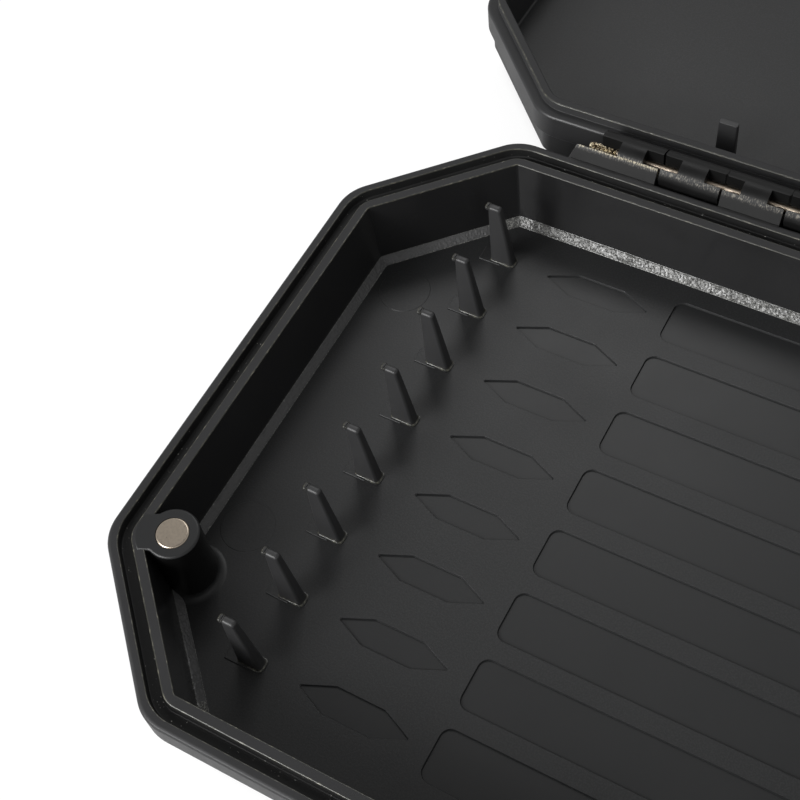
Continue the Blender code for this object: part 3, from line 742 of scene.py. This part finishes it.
def rough_strip(materials):
    """Coarse spark-eroded texture on the sloping strip, as a relief over the shell."""
    shuffle = random.Random(STRIP_SEED)
    inset = RIM_WIDTH + WALL_DRAFT
    glint_to_x = HALF_LENGTH - inset - corner_cut(inset) + STRIP_TURN
    outer = octagon(inset, INNER_CORNER_SOFT)
    inner = octagon(inset + FLOOR_STRIP, INNER_CORNER_SOFT)
    shape = bmesh.new()
    columns = []
    finishes = []
    count = len(outer)
    for at in range(count):
        after = (at + 1) % count
        parts = max(1, round(math.dist(outer[at], outer[after]) / STRIP_CELL))
        for part in range(parts):
            ends = []
            for ring in (outer, inner):
                ends.append([start + (end - start) * (part / parts)
                             for start, end in zip(ring[at], ring[after])])
            columns.append(strip_column(shape, ends, shuffle))
            # Painted glints (STRIP) along the long runs, calm painted-lighter LEDGE on the ends
            finishes.append(STRIP if abs(ends[0][0]) < glint_to_x else LEDGE)
    for column, following, finish in zip(columns, columns[1:] + columns[:1], finishes):
        for row in range(STRIP_ROWS):
            face = shape.faces.new((column[row], column[row + 1], following[row + 1],
                                    following[row]))
            face.material_index = finish
    return new_piece("floor_edge_texture", shape, materials, sharp=math.radians(1))


def strip_column(shape, ends, shuffle):
    """Points from the wall down to the floor, shifted and raised at random between the ends."""
    (outer_x, outer_y), (inner_x, inner_y) = ends
    top = Vector((outer_x, outer_y, TRAY_FLOOR + FLOOR_STRIP))
    across = Vector((inner_x - outer_x, inner_y - outer_y, -FLOOR_STRIP))
    level = Vector((across.x, across.y, 0)).normalized()
    out = (level + Vector((0, 0, 1))).normalized()
    column = []
    for row in range(STRIP_ROWS + 1):
        share = row / STRIP_ROWS
        lift = -STRIP_SINK
        if row not in (0, STRIP_ROWS):
            lift = shuffle.random() * STRIP_ROUGHNESS
            share += (shuffle.random() - 0.5) * STRIP_ROW_SHIFT / STRIP_ROWS
        column.append(shape.verts.new(top + across * share + out * lift))
    return column


def peg_places():
    middle = (PEG_COUNT - 1) / 2
    return [PEG_ROW_SHIFT + (middle - index) * PEG_PITCH for index in range(PEG_COUNT)]


def lane_outline(y, inset):
    half_x = HALF_LENGTH - LANE_START_X - inset
    half_y = LANE_WIDTH / 2 - inset
    corners = [(half_x, y - half_y), (half_x, y + half_y), (-half_x, y + half_y),
               (-half_x, y - half_y)]
    return soften(corners, [LANE_CORNER - inset] * 4, steps=6)


def guide_outline(side, y, inset):
    tip = HALF_LENGTH - GUIDE_START_X - inset * 2
    tail = HALF_LENGTH - GUIDE_END_X + inset * 2
    half = GUIDE_WIDTH / 2 - inset
    point = GUIDE_POINT - inset
    corners = [(side * tip, y), (side * (tip - point), y + half),
               (side * (tail + point), y + half), (side * tail, y),
               (side * (tail + point), y - half), (side * (tip - point), y - half)]
    radii = [GUIDE_TIP_SOFT, GUIDE_SHOULDER_SOFT, GUIDE_SHOULDER_SOFT] * 2
    return soften(corners, radii, steps=3)


def cut_mark(shape, outline_at):
    """Closed cutter for a shallow mark whose walls lean out towards the floor."""
    layers = [(outline_at(MARK_SLOPE), TRAY_FLOOR - MARK_DEPTH),
              (outline_at(0), TRAY_FLOOR - MARK_EDGE_SOFT),
              (outline_at(-MARK_EDGE_SOFT), TRAY_FLOOR),
              (outline_at(-MARK_EDGE_SOFT), TRAY_FLOOR + OVERRUN)]
    stack(shape, layers, [LANE] * 4)


def floor_marks(materials):
    """Lanes and pointed guides, cut out of the floor."""
    shape = bmesh.new()
    for y in peg_places():
        cut_mark(shape, lambda inset: lane_outline(y, inset))
        for side, _ in SIDES:
            cut_mark(shape, lambda inset: guide_outline(side, y, inset))
    return new_piece("floor_marks", shape, materials)


def ejector_marks(materials):
    """Low round pads left by the mould's ejector pins, with a bevelled edge."""
    shape = bmesh.new()
    for x, y in EJECTOR_PLACES:
        for side, _ in SIDES:
            centre_x = side * (HALF_LENGTH - x)
            foot = circle(EJECTOR_RADIUS, x=centre_x, y=y)
            top = circle(EJECTOR_RADIUS - EJECTOR_SLOPE, x=centre_x, y=y)
            layers = [(foot, TRAY_FLOOR - EJECTOR_SINK), (foot, TRAY_FLOOR),
                      (top, TRAY_FLOOR + EJECTOR_RISE)]
            stack(shape, layers, [FLOOR, PEG, FLOOR])
    return new_piece("ejector_pads", shape, materials, sharp=math.radians(5))


def peg_post(materials):
    """Drafted post of a line peg, from z = 0 up, with a flared foot and a rounded crown."""
    layers = [(rectangle(-PEG_FLARE, PEG_ROOT_LENGTH + PEG_FLARE,
                         PEG_ROOT_WIDTH / 2 + PEG_FLARE, PEG_EDGE_SOFT + PEG_FLARE), -BITE)]

    def layer(height, grow):
        rise = height / PEG_HEIGHT
        low_x = PEG_LEAN * rise - grow
        high_x = PEG_ROOT_LENGTH + (PEG_TOP_LENGTH - PEG_ROOT_LENGTH) * rise + grow
        half = (PEG_ROOT_WIDTH + (PEG_TOP_WIDTH - PEG_ROOT_WIDTH) * rise) / 2 + grow
        radius = max(PEG_EDGE_SOFT + PEG_EDGE_GAIN * rise + grow, half * PEG_LEAST_SOFT_SHARE)
        layers.append((rectangle(low_x, high_x, half, radius), height))

    skirt = PEG_FOOT_HEIGHT * PEG_FLARE_START_SHARE
    for rise, fall in quarter_round(PEG_ROUND_STEPS):
        layer(skirt + PEG_FLARE * rise, PEG_FLARE * fall)
    for step in range(1, PEG_SECTIONS):
        layer(PEG_HEIGHT * step / PEG_SECTIONS, 0)
    for rise, fall in quarter_round(PEG_ROUND_STEPS):
        layer(PEG_HEIGHT - PEG_CROWN * fall, -PEG_CROWN * rise * PEG_CROWN_SHARE)
    # EDGE on the flared foot: a painted highlight line round the peg
    finishes = [PEG] + [EDGE] * PEG_ROUND_STEPS + [PEG] * (len(layers) - PEG_ROUND_STEPS - 1)
    return stacked_piece("peg", layers, finishes, materials)


def peg_barb(materials):
    """Barb on the outer side of a peg's head."""
    tip = PEG_LEAN - BARB_REACH
    back = PEG_LEAN + PEG_NOTCH
    base = PEG_HEIGHT - BARB_DEPTH
    half = PEG_TOP_WIDTH / 2
    layers = [(rectangle(tip + BARB_SOFT, back, half * BARB_BASE_SHARE, BARB_SOFT), base)]
    for rise, fall in quarter_round(BARB_LOW_STEPS):
        inset = BARB_SOFT * fall
        layers.append((rectangle(tip + inset, back, half - inset / 2, BARB_SOFT),
                       base + BARB_SOFT * rise + BARB_BASE_RISE))
    for rise, fall in quarter_round(BARB_TOP_STEPS):
        inset = BARB_SOFT * rise
        layers.append((rectangle(tip + inset, back, half - inset, BARB_SOFT * PEG_CROWN_SHARE),
                       PEG_HEIGHT - BARB_SOFT * fall))
    # EDGE on the barb's rounded top: painted highlight strokes
    finishes = [PEG] * (BARB_LOW_STEPS + 2) + [EDGE] * BARB_TOP_STEPS + [PEG]
    return stacked_piece("barb", layers, finishes, materials)


def peg_notch(materials):
    """Cutter for the notch between a peg's barb and its post."""
    top = PEG_HEIGHT + BITE / 4
    outline = [(PEG_LEAN - PEG_NOTCH * NOTCH_OUTER_SHARE, top),
               (PEG_LEAN, PEG_HEIGHT - PEG_NOTCH),
               (PEG_LEAN + PEG_NOTCH * NOTCH_INNER_SHARE, top)]
    shape = bmesh.new()
    extrude_outline(shape, outline, -PEG_TOP_WIDTH, PEG_TOP_WIDTH, UPRIGHT, PEG)
    return new_piece("notch", shape, materials)


def peg_mesh(materials):
    peg = combine(peg_post(materials), [peg_barb(materials)], "UNION")
    return combine(peg, [peg_notch(materials)], "DIFFERENCE")


def foot_mesh(materials):
    """Low pad round the outer half of a peg, the mark of a mould insert."""
    half = PEG_FOOT_WIDTH / 2
    layers = []
    for height, inset in ((-BITE, 0), (PEG_FOOT_HEIGHT - PEG_FOOT_BEVEL, 0),
                          (PEG_FOOT_HEIGHT - PEG_FOOT_BEVEL_MIDDLE, PEG_FOOT_BEVEL_MIDDLE),
                          (PEG_FOOT_HEIGHT, PEG_FOOT_BEVEL)):
        layers.append((rectangle(inset - PEG_FOOT_LENGTH, PEG_ROOT_LENGTH / 2 - inset,
                                 half - inset, PEG_FOOT_CORNER), height))
    return stacked_piece("peg_foot", layers, [FLOOR, PEG, PEG, FLOOR], materials)


def boss_to_corner(wall_inset):
    """Way from the centre of a boss to the corner of the wall that its web runs into."""
    corner_x = HALF_LENGTH - wall_inset
    corner_y = HALF_WIDTH - wall_inset - corner_cut(wall_inset)
    return corner_x - BOSS_X, corner_y - BOSS_Y


def boss_outline(wall_inset, bite, grow, wide_side):
    """Keyhole outline of a boss: its web points along +X into the corner of the wall."""
    radius = BOSS_RADIUS + grow
    halves = (BOSS_WEB_WIDE + grow, BOSS_WEB_NARROW + grow)
    low_half, high_half = halves if wide_side < 0 else halves[::-1]
    reach = math.hypot(*boss_to_corner(wall_inset)) + bite + min(grow, 0)
    slope = math.tan(CORNER_HALF_TURN)
    start = math.asin(high_half / radius)
    sweep = math.tau - start - math.asin(low_half / radius)
    neck = max(BOSS_NECK_LEAST_SOFT, BOSS_NECK_SOFT - grow)
    corners = [(reach - low_half * slope, -low_half), (reach, 0),
               (reach - high_half * slope, high_half)]
    radii = [0, GROOVE_CORNER_SOFT, 0]
    for step in range(BOSS_STEPS + 1):
        angle = start + sweep * step / BOSS_STEPS
        corners.append((radius * math.cos(angle), radius * math.sin(angle)))
        radii.append(neck if step in (0, BOSS_STEPS) else 0)
    return soften(corners, radii, steps=5)


def pocket_cutter(high, materials):
    depth = MAGNET_THICKNESS + MAGNET_RECESS + GAP
    bore = MAGNET_RADIUS + POCKET_GAP
    turn = POCKET_SOFT * BEVEL_MIDDLE
    layers = [(circle(bore), high - depth), (circle(bore), high - POCKET_SOFT),
              (circle(bore + turn), high - turn), (circle(bore + POCKET_SOFT), high),
              (circle(bore + POCKET_SOFT), high + OVERRUN)]
    # SHADE on the pocket's deep wall and floor: painted shade
    return stacked_piece("pocket", layers, [SHADE] + [LANE] * 4, materials)


def magnet_boss(name, low, high, wall_inset, bite, y, side, mirror_y, materials):
    """Boss with a rounded top edge, a fillet at its foot and a pocket for the disc."""
    layers = []

    def layer(height, grow):
        layers.append((boss_outline(wall_inset, bite, grow, side * mirror_y), height))

    layer(low - BITE, BOSS_FLARE)
    for rise, fall in quarter_round(BOSS_ROUND_STEPS):
        layer(low + BOSS_FLARE * rise, BOSS_FLARE * fall)
    for rise, fall in quarter_round(BOSS_ROUND_STEPS):
        layer(high - BOSS_EDGE_SOFT * fall, -BOSS_EDGE_SOFT * rise)
    # SHADE on the boss's upright side: painted shade
    finishes = [FLOOR] * (BOSS_ROUND_STEPS + 1) + [SHADE] * 2 + [LANE] * BOSS_ROUND_STEPS
    shape = bmesh.new()
    stack(shape, layers, finishes)
    to_x, to_y = boss_to_corner(wall_inset)
    lean = math.atan2(to_y, to_x)
    turn = math.atan2(-mirror_y * math.sin(lean), side * math.cos(lean))
    bmesh.ops.transform(shape, verts=shape.verts, matrix=Matrix.Rotation(turn, 4, "Z"))
    boss = new_piece(name, shape, materials)
    combine(boss, [pocket_cutter(high, materials)], "DIFFERENCE")
    boss.data.transform(Matrix.Translation((side * BOSS_X, y, 0)))
    return boss


def build_tray(materials):
    tray = loft("tray_shell", tray_line(), materials)
    combine(tray, [floor_marks(materials)], "DIFFERENCE")
    shade(tray.data)
    place_on_tray(tray)
    place_on_tray(rough_strip(materials))
    place_on_tray(ejector_marks(materials))
    peg = peg_mesh(materials)
    foot = foot_mesh(materials)
    for side, label in SIDES:
        for index, y in enumerate(peg_places(), 1):
            spot = Matrix.Translation((side * (HALF_LENGTH - PEG_OUTER_X), y, TRAY_FLOOR))
            if side > 0:
                spot = spot @ Matrix.Rotation(math.pi, 4, "Z")
            place_on_tray(add_object(f"line_peg_{label}_{index}", peg.data), spot)
            place_on_tray(add_object(f"peg_pad_{label}_{index}", foot.data), spot)
    remove(peg, foot)
    for side, label in SIDES:
        boss = magnet_boss("tray_boss_" + label, TRAY_FLOOR, TRAY_HEIGHT + BOSS_RISE, RIM_WIDTH,
                           INNER_LIP - BOSS_WEB_SETBACK, -BOSS_Y, side, 1, materials)
        place_on_tray(boss)


# Hinge

def barrel_arc(start_angle, end_angle):
    steps = max(2, round(BARREL_STEPS * abs(end_angle - start_angle) / math.pi))
    angles = [start_angle + (end_angle - start_angle) * s / steps for s in range(steps + 1)]
    return [(BARREL_RADIUS * math.cos(a), BARREL_RADIUS * math.sin(a)) for a in angles]


def tray_finger_outline():
    """Tray finger: a ramp from the rim up to the barrel, gusset to the wall below."""
    wall = -HINGE_OFFSET - BITE
    ramp_start = -HINGE_OFFSET - RAMP_SETBACK
    contact = math.pi - math.acos(-BARREL_RADIUS / ramp_start)
    outline = [(wall, ROOT_LIFT), (ramp_start, ROOT_LIFT * 2)]
    outline += reversed(barrel_arc(math.radians(-90), contact))
    outline += [(wall, -GUSSET_DROP), (wall, -GUSSET_DROP / 2)]
    return outline


def lid_finger_outline():
    """Lid finger: the same barrel with a flat tab edge on its free side."""
    wall = HINGE_OFFSET + BITE
    edge_angle = math.pi - math.asin(TAB_EDGE_HEIGHT / BARREL_RADIUS)
    top_angle = math.asin(ROOT_FILLET / BARREL_RADIUS)
    under_angle = math.atan2(-BARREL_RADIUS, -BARREL_RADIUS / 2) + math.tau
    outline = [(wall, -GAP + ROOT_LIFT * 2), (BARREL_RADIUS + ROOT_FILLET / 2, -GAP)]
    outline += barrel_arc(top_angle, edge_angle)
    outline += [(TAB_EDGE_SETBACK - BARREL_RADIUS, -TAB_EDGE_DROP)]
    outline += barrel_arc(under_angle, math.radians(-90) + math.tau)
    outline += [(wall, -GUSSET_DROP), (wall, -GUSSET_DROP / 2)]
    return outline


def window_outline(depth):
    return block(-depth, 0, -PIN_RADIUS / 2, BARREL_RADIUS + OVERRUN)


def cutter(name, outline, spans, materials):
    """Cutter along the hinge: an outline pulled over one or more spans of x."""
    shape = bmesh.new()
    for start, end in spans:
        extrude_outline(shape, outline, start, end, ACROSS, HINGE)
    return new_piece(name, shape, materials)


def bore_cutter(length, materials):
    outline = circle(PIN_RADIUS + GAP, steps=32)
    return cutter("bore", outline, [(-length / 2, length / 2)], materials)


def inner_finger(name, outline, materials):
    """Finger with half a window at each end, centred on x = 0 about the hinge axis."""
    half = (FINGER_PITCH - REAR_GAP) / 2
    finger = cutter(name, outline, [(-half, half)], materials)

    def both_ends(start):
        return [(start, FINGER_PITCH), (-FINGER_PITCH, -start)]

    windows = cutter("windows", window_outline(WINDOW_DEPTH),
                     both_ends(FINGER_PITCH / 2 - WINDOW_LENGTH / 2), materials)
    reach = HINGE_OFFSET + OVERRUN
    front = block(-reach, WINDOW_SEAM, -GUSSET_DROP - OVERRUN, reach)
    gaps = cutter("gaps", front, both_ends((FINGER_PITCH - FINGER_GAP) / 2), materials)
    combine(finger, [windows, gaps, bore_cutter(FINGER_PITCH * 2, materials)], "DIFFERENCE")
    ease_edges(finger)
    return finger


def end_finger(name, side, materials):
    """Tray's outermost finger, with a sloping end and a trough over the pin."""
    outer = side * (HALF_LENGTH - HINGE_START_X)
    inner = side * (FIRST_JOINT_X + FINGER_GAP / 2)
    past = outer + side * (HINGE_END_SLOPE + OVERRUN)
    trough_close = side * (HALF_LENGTH - TROUGH_CLOSE_X)
    rear_close = side * (HALF_LENGTH - REAR_BARREL_X)
    joint = side * FIRST_JOINT_X
    window = (joint - WINDOW_LENGTH / 2, joint + WINDOW_LENGTH / 2)
    shape = bmesh.new()
    for vert in extrude_outline(shape, tray_finger_outline(), outer, inner, ACROSS, HINGE):
        vert.co.x -= side * HINGE_END_SLOPE * vert.co.z / BARREL_RADIUS
    finger = new_piece(name, shape, materials)
    reach = BARREL_RADIUS + OVERRUN
    rear = block(0, reach, -reach, reach)
    cuts = [
        cutter("trough", window_outline(TROUGH_DEPTH), [sorted((past, trough_close))], materials),
        cutter("rear", rear, [sorted((past, rear_close))], materials),
        cutter("window", window_outline(WINDOW_DEPTH), [window], materials),
        bore_cutter(HALF_LENGTH * 2, materials),
    ]
    combine(finger, cuts, "DIFFERENCE")
    ease_edges(finger)
    return finger


def pin_stations(start, end, knurl_end):
    """Cross-sections along the pin: x, radius and depth of the knurl."""
    stations = [(start + PIN_END_SOFT * fall, PIN_RADIUS - PIN_END_SOFT * rise, 0)
                for rise, fall in reversed(quarter_round(PIN_ROUND_STEPS))]
    knurl_start = start + KNURL_START
    for step in range(KNURL_STATIONS + 1):
        x = knurl_start + (knurl_end - knurl_start) * step / KNURL_STATIONS
        fade = min(KNURL_FADE_STATIONS, step, KNURL_STATIONS - step) / KNURL_FADE_STATIONS
        stations.append((x, PIN_RADIUS, KNURL_DEPTH * fade))
    stations.append((knurl_end + PIN_END_SOFT, PIN_RADIUS, 0))
    stations += [(end - PIN_END_SOFT * fall, PIN_RADIUS - PIN_END_SOFT * rise, 0)
                 for rise, fall in quarter_round(PIN_ROUND_STEPS)]
    return stations


def hinge_pin_mesh(steel, knurled):
    """Wire with rounded ends and a cross-knurled length at its left end."""
    start = PIN_LOW.x
    knurl_end = start + KNURL_LENGTH
    stations = pin_stations(start, PIN_HIGH.x, knurl_end)
    around = KNURL_TEETH * KNURL_TOOTH_POINTS
    shape = bmesh.new()
    rings = []
    for x, radius, depth in stations:
        twist = (x - start) / MM * KNURL_TURNS_PER_MM
        ring = []
        for step in range(around):
            angle = math.tau * step / around
            tooth = angle * KNURL_TEETH / math.tau
            first = abs(math.remainder(tooth + twist, 1.0)) * 2
            second = abs(math.remainder(tooth - twist, 1.0)) * 2
            height = min(first, second) * KNURL_HEIGHT_SPAN - KNURL_HEIGHT_DROP
            reach = radius + depth * height
            ring.append(shape.verts.new((x, reach * math.cos(angle), reach * math.sin(angle))))
        rings.append(ring)
    skin(shape, rings, [int(x < knurl_end) for x, _, _ in stations])
    return new_piece("hinge_pin_wire", shape, [steel, knurled], sharp=math.radians(30))


def build_hinge(materials, steel, knurled):
    tray_finger = inner_finger("tray_finger", tray_finger_outline(), materials)
    lid_finger = inner_finger("lid_finger", lid_finger_outline(), materials)
    lid_finger.data.transform(LID_TURN)
    for index in range(LID_FINGERS * 2 - 1):
        number = index // 2 + 1
        centre = FINGER_PITCH * (index + 0.5) - FIRST_JOINT_X
        spot = HINGE_MATRIX @ Matrix.Translation((centre, 0, 0))
        if index % 2 == 0:
            place_on_lid(add_object(f"lid_hinge_finger_{number}", lid_finger.data), spot)
        else:
            place_on_tray(add_object(f"tray_hinge_finger_{number}", tray_finger.data), spot)
    remove(tray_finger, lid_finger)
    for side, label in SIDES:
        place_on_tray(end_finger("tray_end_finger_" + label, side, materials), HINGE_MATRIX)
    pin = hinge_pin_mesh(steel, knurled)
    place(pin, "tray_body", "hinge_pin", HINGE_MATRIX)


# Lid

def lid_line():
    tuck = LID_TUCK
    roof = LID_ROOF - LID_HEIGHT
    inside = LID_RIM + LID_DRAFT
    low = LID_CORNER_SOFT
    outer = OUTER_CORNER_SOFT
    middle = GROOVE_CORNER_SOFT
    return section_line([
        (tuck + LID_FLAT_RING, -LID_HEIGHT, 0, low, SIDE),
        (tuck, -LID_HEIGHT, LID_EDGE_SOFT, low, SIDE),
        (tuck, -RIM_BAND - tuck / 2, LID_TUCK_SOFT, low, SIDE),
        (0, -RIM_BAND, BAND_EDGE_SOFT, outer, SIDE),
        (0, -GAP, RIM_EDGE_SOFT, outer, LIP),
        (TONGUE_OUTER, -GAP, TONGUE_ROOT_SOFT, outer, PEG),
        # EDGE on the tongue's outer edge: painted highlight strokes
        (TONGUE_OUTER, TONGUE_HEIGHT, TONGUE_OUTER_SOFT, outer, LIP, EDGE),
        (LID_RIM, TONGUE_HEIGHT, TONGUE_INNER_SOFT, middle, LANE),
        (inside, roof, LID_ROOF_SOFT, middle, FLOOR),
        (inside + LID_FLAT_RING, roof, 0, middle, FLOOR),
    ])


def lid_rest(name, side, materials):
    """Upright rest on the lid's roof, a little thinner at its top."""
    low = LID_ROOF - LID_HEIGHT - BITE
    high = -GAP - REST_DROP
    soft = REST_TOP_SOFT
    turn = soft * BEVEL_MIDDLE
    layers = []
    for height, inset in ((low, 0), (high - soft, REST_DRAFT * REST_DRAFT_SHARE),
                          (high - turn, REST_DRAFT + turn), (high, REST_DRAFT + soft)):
        half = REST_LENGTH / 2 - inset
        layers.append((rectangle(-half, half, REST_THICKNESS / 2 - inset,
                                 REST_EDGE_SOFT - inset / 2), height))
    # The lighter PEG finish is painted light on the rest's shaded sides
    rest = stacked_piece(name, layers, [PEG] * 4, materials)
    rest.data.transform(Matrix.Translation((side * (HALF_LENGTH - REST_X),
                                            HINGE_OFFSET + REST_Y, 0)))
    return rest


def build_lid(materials):
    lid = loft("lid_shell", lid_line(), materials)
    middle_y = HINGE_OFFSET + HALF_WIDTH
    lid.data.transform(LID_TURN @ Matrix.Translation((0, middle_y, 0)))
    place_on_lid(lid, HINGE_MATRIX)
    for side, label in SIDES:
        boss = magnet_boss("lid_boss_" + label, LID_ROOF - LID_HEIGHT, -GAP - BOSS_SINK, LID_RIM,
                           BITE, middle_y + BOSS_Y, side, -1, materials)
        rest = lid_rest("lid_rest_" + label, side, materials)
        for piece in (boss, rest):
            piece.data.transform(LID_TURN)
            place_on_lid(piece, HINGE_MATRIX)


# Magnets

def magnet_mesh(nickel):
    """Disc with rounded edges, its top at z = 0."""
    layers = []
    soft = MAGNET_EDGE_SOFT
    for rise, fall in quarter_round(MAGNET_ROUND_STEPS):
        layers.append((circle(MAGNET_RADIUS - soft * fall), -MAGNET_THICKNESS + soft * rise))
    for rise, fall in quarter_round(MAGNET_ROUND_STEPS):
        layers.append((circle(MAGNET_RADIUS - soft * rise), -soft * fall))
    return stacked_piece("magnet_disc", layers, [0] * len(layers), [nickel])


def build_magnets(nickel):
    disc = magnet_mesh(nickel)
    lid_disc = disc.data.copy()
    lid_disc.transform(LID_TURN)
    top = TRAY_HEIGHT + BOSS_RISE + MAGNET_PROUD
    for side, label in SIDES:
        x = side * BOSS_X
        in_lid = LID_TURN @ Vector((x, HINGE_OFFSET + HALF_WIDTH + BOSS_Y,
                                    -GAP - MAGNET_RECESS))
        spots = (("tray_magnet_", "tray_body", disc.data, Vector((x, -BOSS_Y, top))),
                 ("lid_magnet_", "lid_body", lid_disc, HINGE_POINT + in_lid))
        for name, body, mesh, spot in spots:
            piece = add_object(name + label + "_disc", mesh)
            place(piece, body, name + label, Matrix.Translation(spot))
    remove(disc)


# Stage, light and camera

def build_stage():
    """Pale ground that glows for the camera, and less so close to the object: a painted shadow.
    """
    shape = bmesh.new()
    bmesh.ops.create_grid(shape, x_segments=1, y_segments=1, size=GROUND_SIZE)
    ground = new_piece("ground", shape, [])
    ground.location = (0, 0, -GROUND_DROP)
    material, tree, shader = new_material("pale_ground")
    feed(tree, shader, {"Base Color": (GROUND_GREY, GROUND_GREY, GROUND_GREY, 1),
                        "Roughness": 0.9})
    # Painted shadow: ambient occlusion dims the glow near the object
    openness = node(tree, "AmbientOcclusion", {"Distance": GROUND_SHADE_REACH}, "AO")
    strength = spread(tree, openness, GROUND_OPENNESS, GROUND_GLOW)
    glow = node(tree, "Emission", {"Color": (1, 1, 1, 1), "Strength": strength}, "Emission")
    seen = node(tree, "LightPath", {}, "Is Camera Ray")
    share = spread(tree, seen, (0, 1), (0, GROUND_GLOW_SHARE))
    mixed = node(tree, "MixShader", {"Fac": share, 1: shader.outputs["BSDF"], 2: glow}, "Shader")
    feed(tree, tree.nodes["Material Output"], {"Surface": mixed})
    ground.data.materials.append(material)


def build_world():
    """Plain studio surroundings: a pale sweep round the object, darker overhead."""
    world = bpy.data.worlds.new("studio")
    world.use_nodes = True
    bpy.context.scene.world = world
    tree = world.node_tree
    around = node(tree, "TexCoord", {}, "Generated")
    ramp = tree.nodes.new("ShaderNodeValToRGB")
    while len(ramp.color_ramp.elements) < len(SKY_LEVELS):
        ramp.color_ramp.elements.new(0.5)
    for element, (place_at, level) in zip(ramp.color_ramp.elements, SKY_LEVELS):
        element.position = place_at
        element.color = (level, level, level, 1)
    feed(tree, ramp, {"Fac": node(tree, "SeparateXYZ", {"Vector": around}, "Z")})
    feed(tree, tree.nodes["Background"], {"Color": ramp.outputs["Color"], "Strength": 1.0})


def build_lights():
    for name, place_at, size, power in LIGHTS:
        lamp = bpy.data.lights.new(name, "AREA")
        lamp.shape = "RECTANGLE"
        lamp.size, lamp.size_y = size
        lamp.energy = power
        holder = add_object(name, lamp)
        holder.location = place_at
        aim = LIGHT_TARGET - Vector(place_at)
        holder.rotation_euler = aim.to_track_quat("-Z", "Y").to_euler()


def build_camera():
    data = bpy.data.cameras.new("view")
    data.lens = CAMERA_LENS
    data.sensor_width = CAMERA_SENSOR
    holder = add_object("view", data)
    holder.location = CAMERA_PLACE
    holder.rotation_euler = [math.radians(angle) for angle in CAMERA_TURN]
    bpy.context.scene.camera = holder


build_camera()
bpy.context.scene.view_settings.view_transform = "Standard"
PLASTIC = mouldings()
STEEL = metal("steel_wire", (0.9, 0.74, 0.58), (0.96, 0.81, 0.65), rough=(0.38, 0.44),
              stretch=(1, 30, 30), relief=0.5 * MICRON)
# Knurl: near-black to bright mottle, painted glints and painted shade for its sparkle
KNURLED = metal("steel_knurl", (0.11, 0.08, 0.05), (1.0, 0.87, 0.63), rough=(0.2, 0.34),
                stretch=(0.75, 0.75, 0.75), relief=3 * MICRON)
NICKEL = metal("nickel_disc", (0.62, 0.53, 0.43), (0.67, 0.575, 0.465), rough=(0.27, 0.33),
               stretch=(1, 1, 1), relief=1 * MICRON)
build_tray(PLASTIC)
build_hinge(PLASTIC, STEEL, KNURLED)
build_lid(PLASTIC)
build_magnets(NICKEL)
build_stage()
build_world()
build_lights()
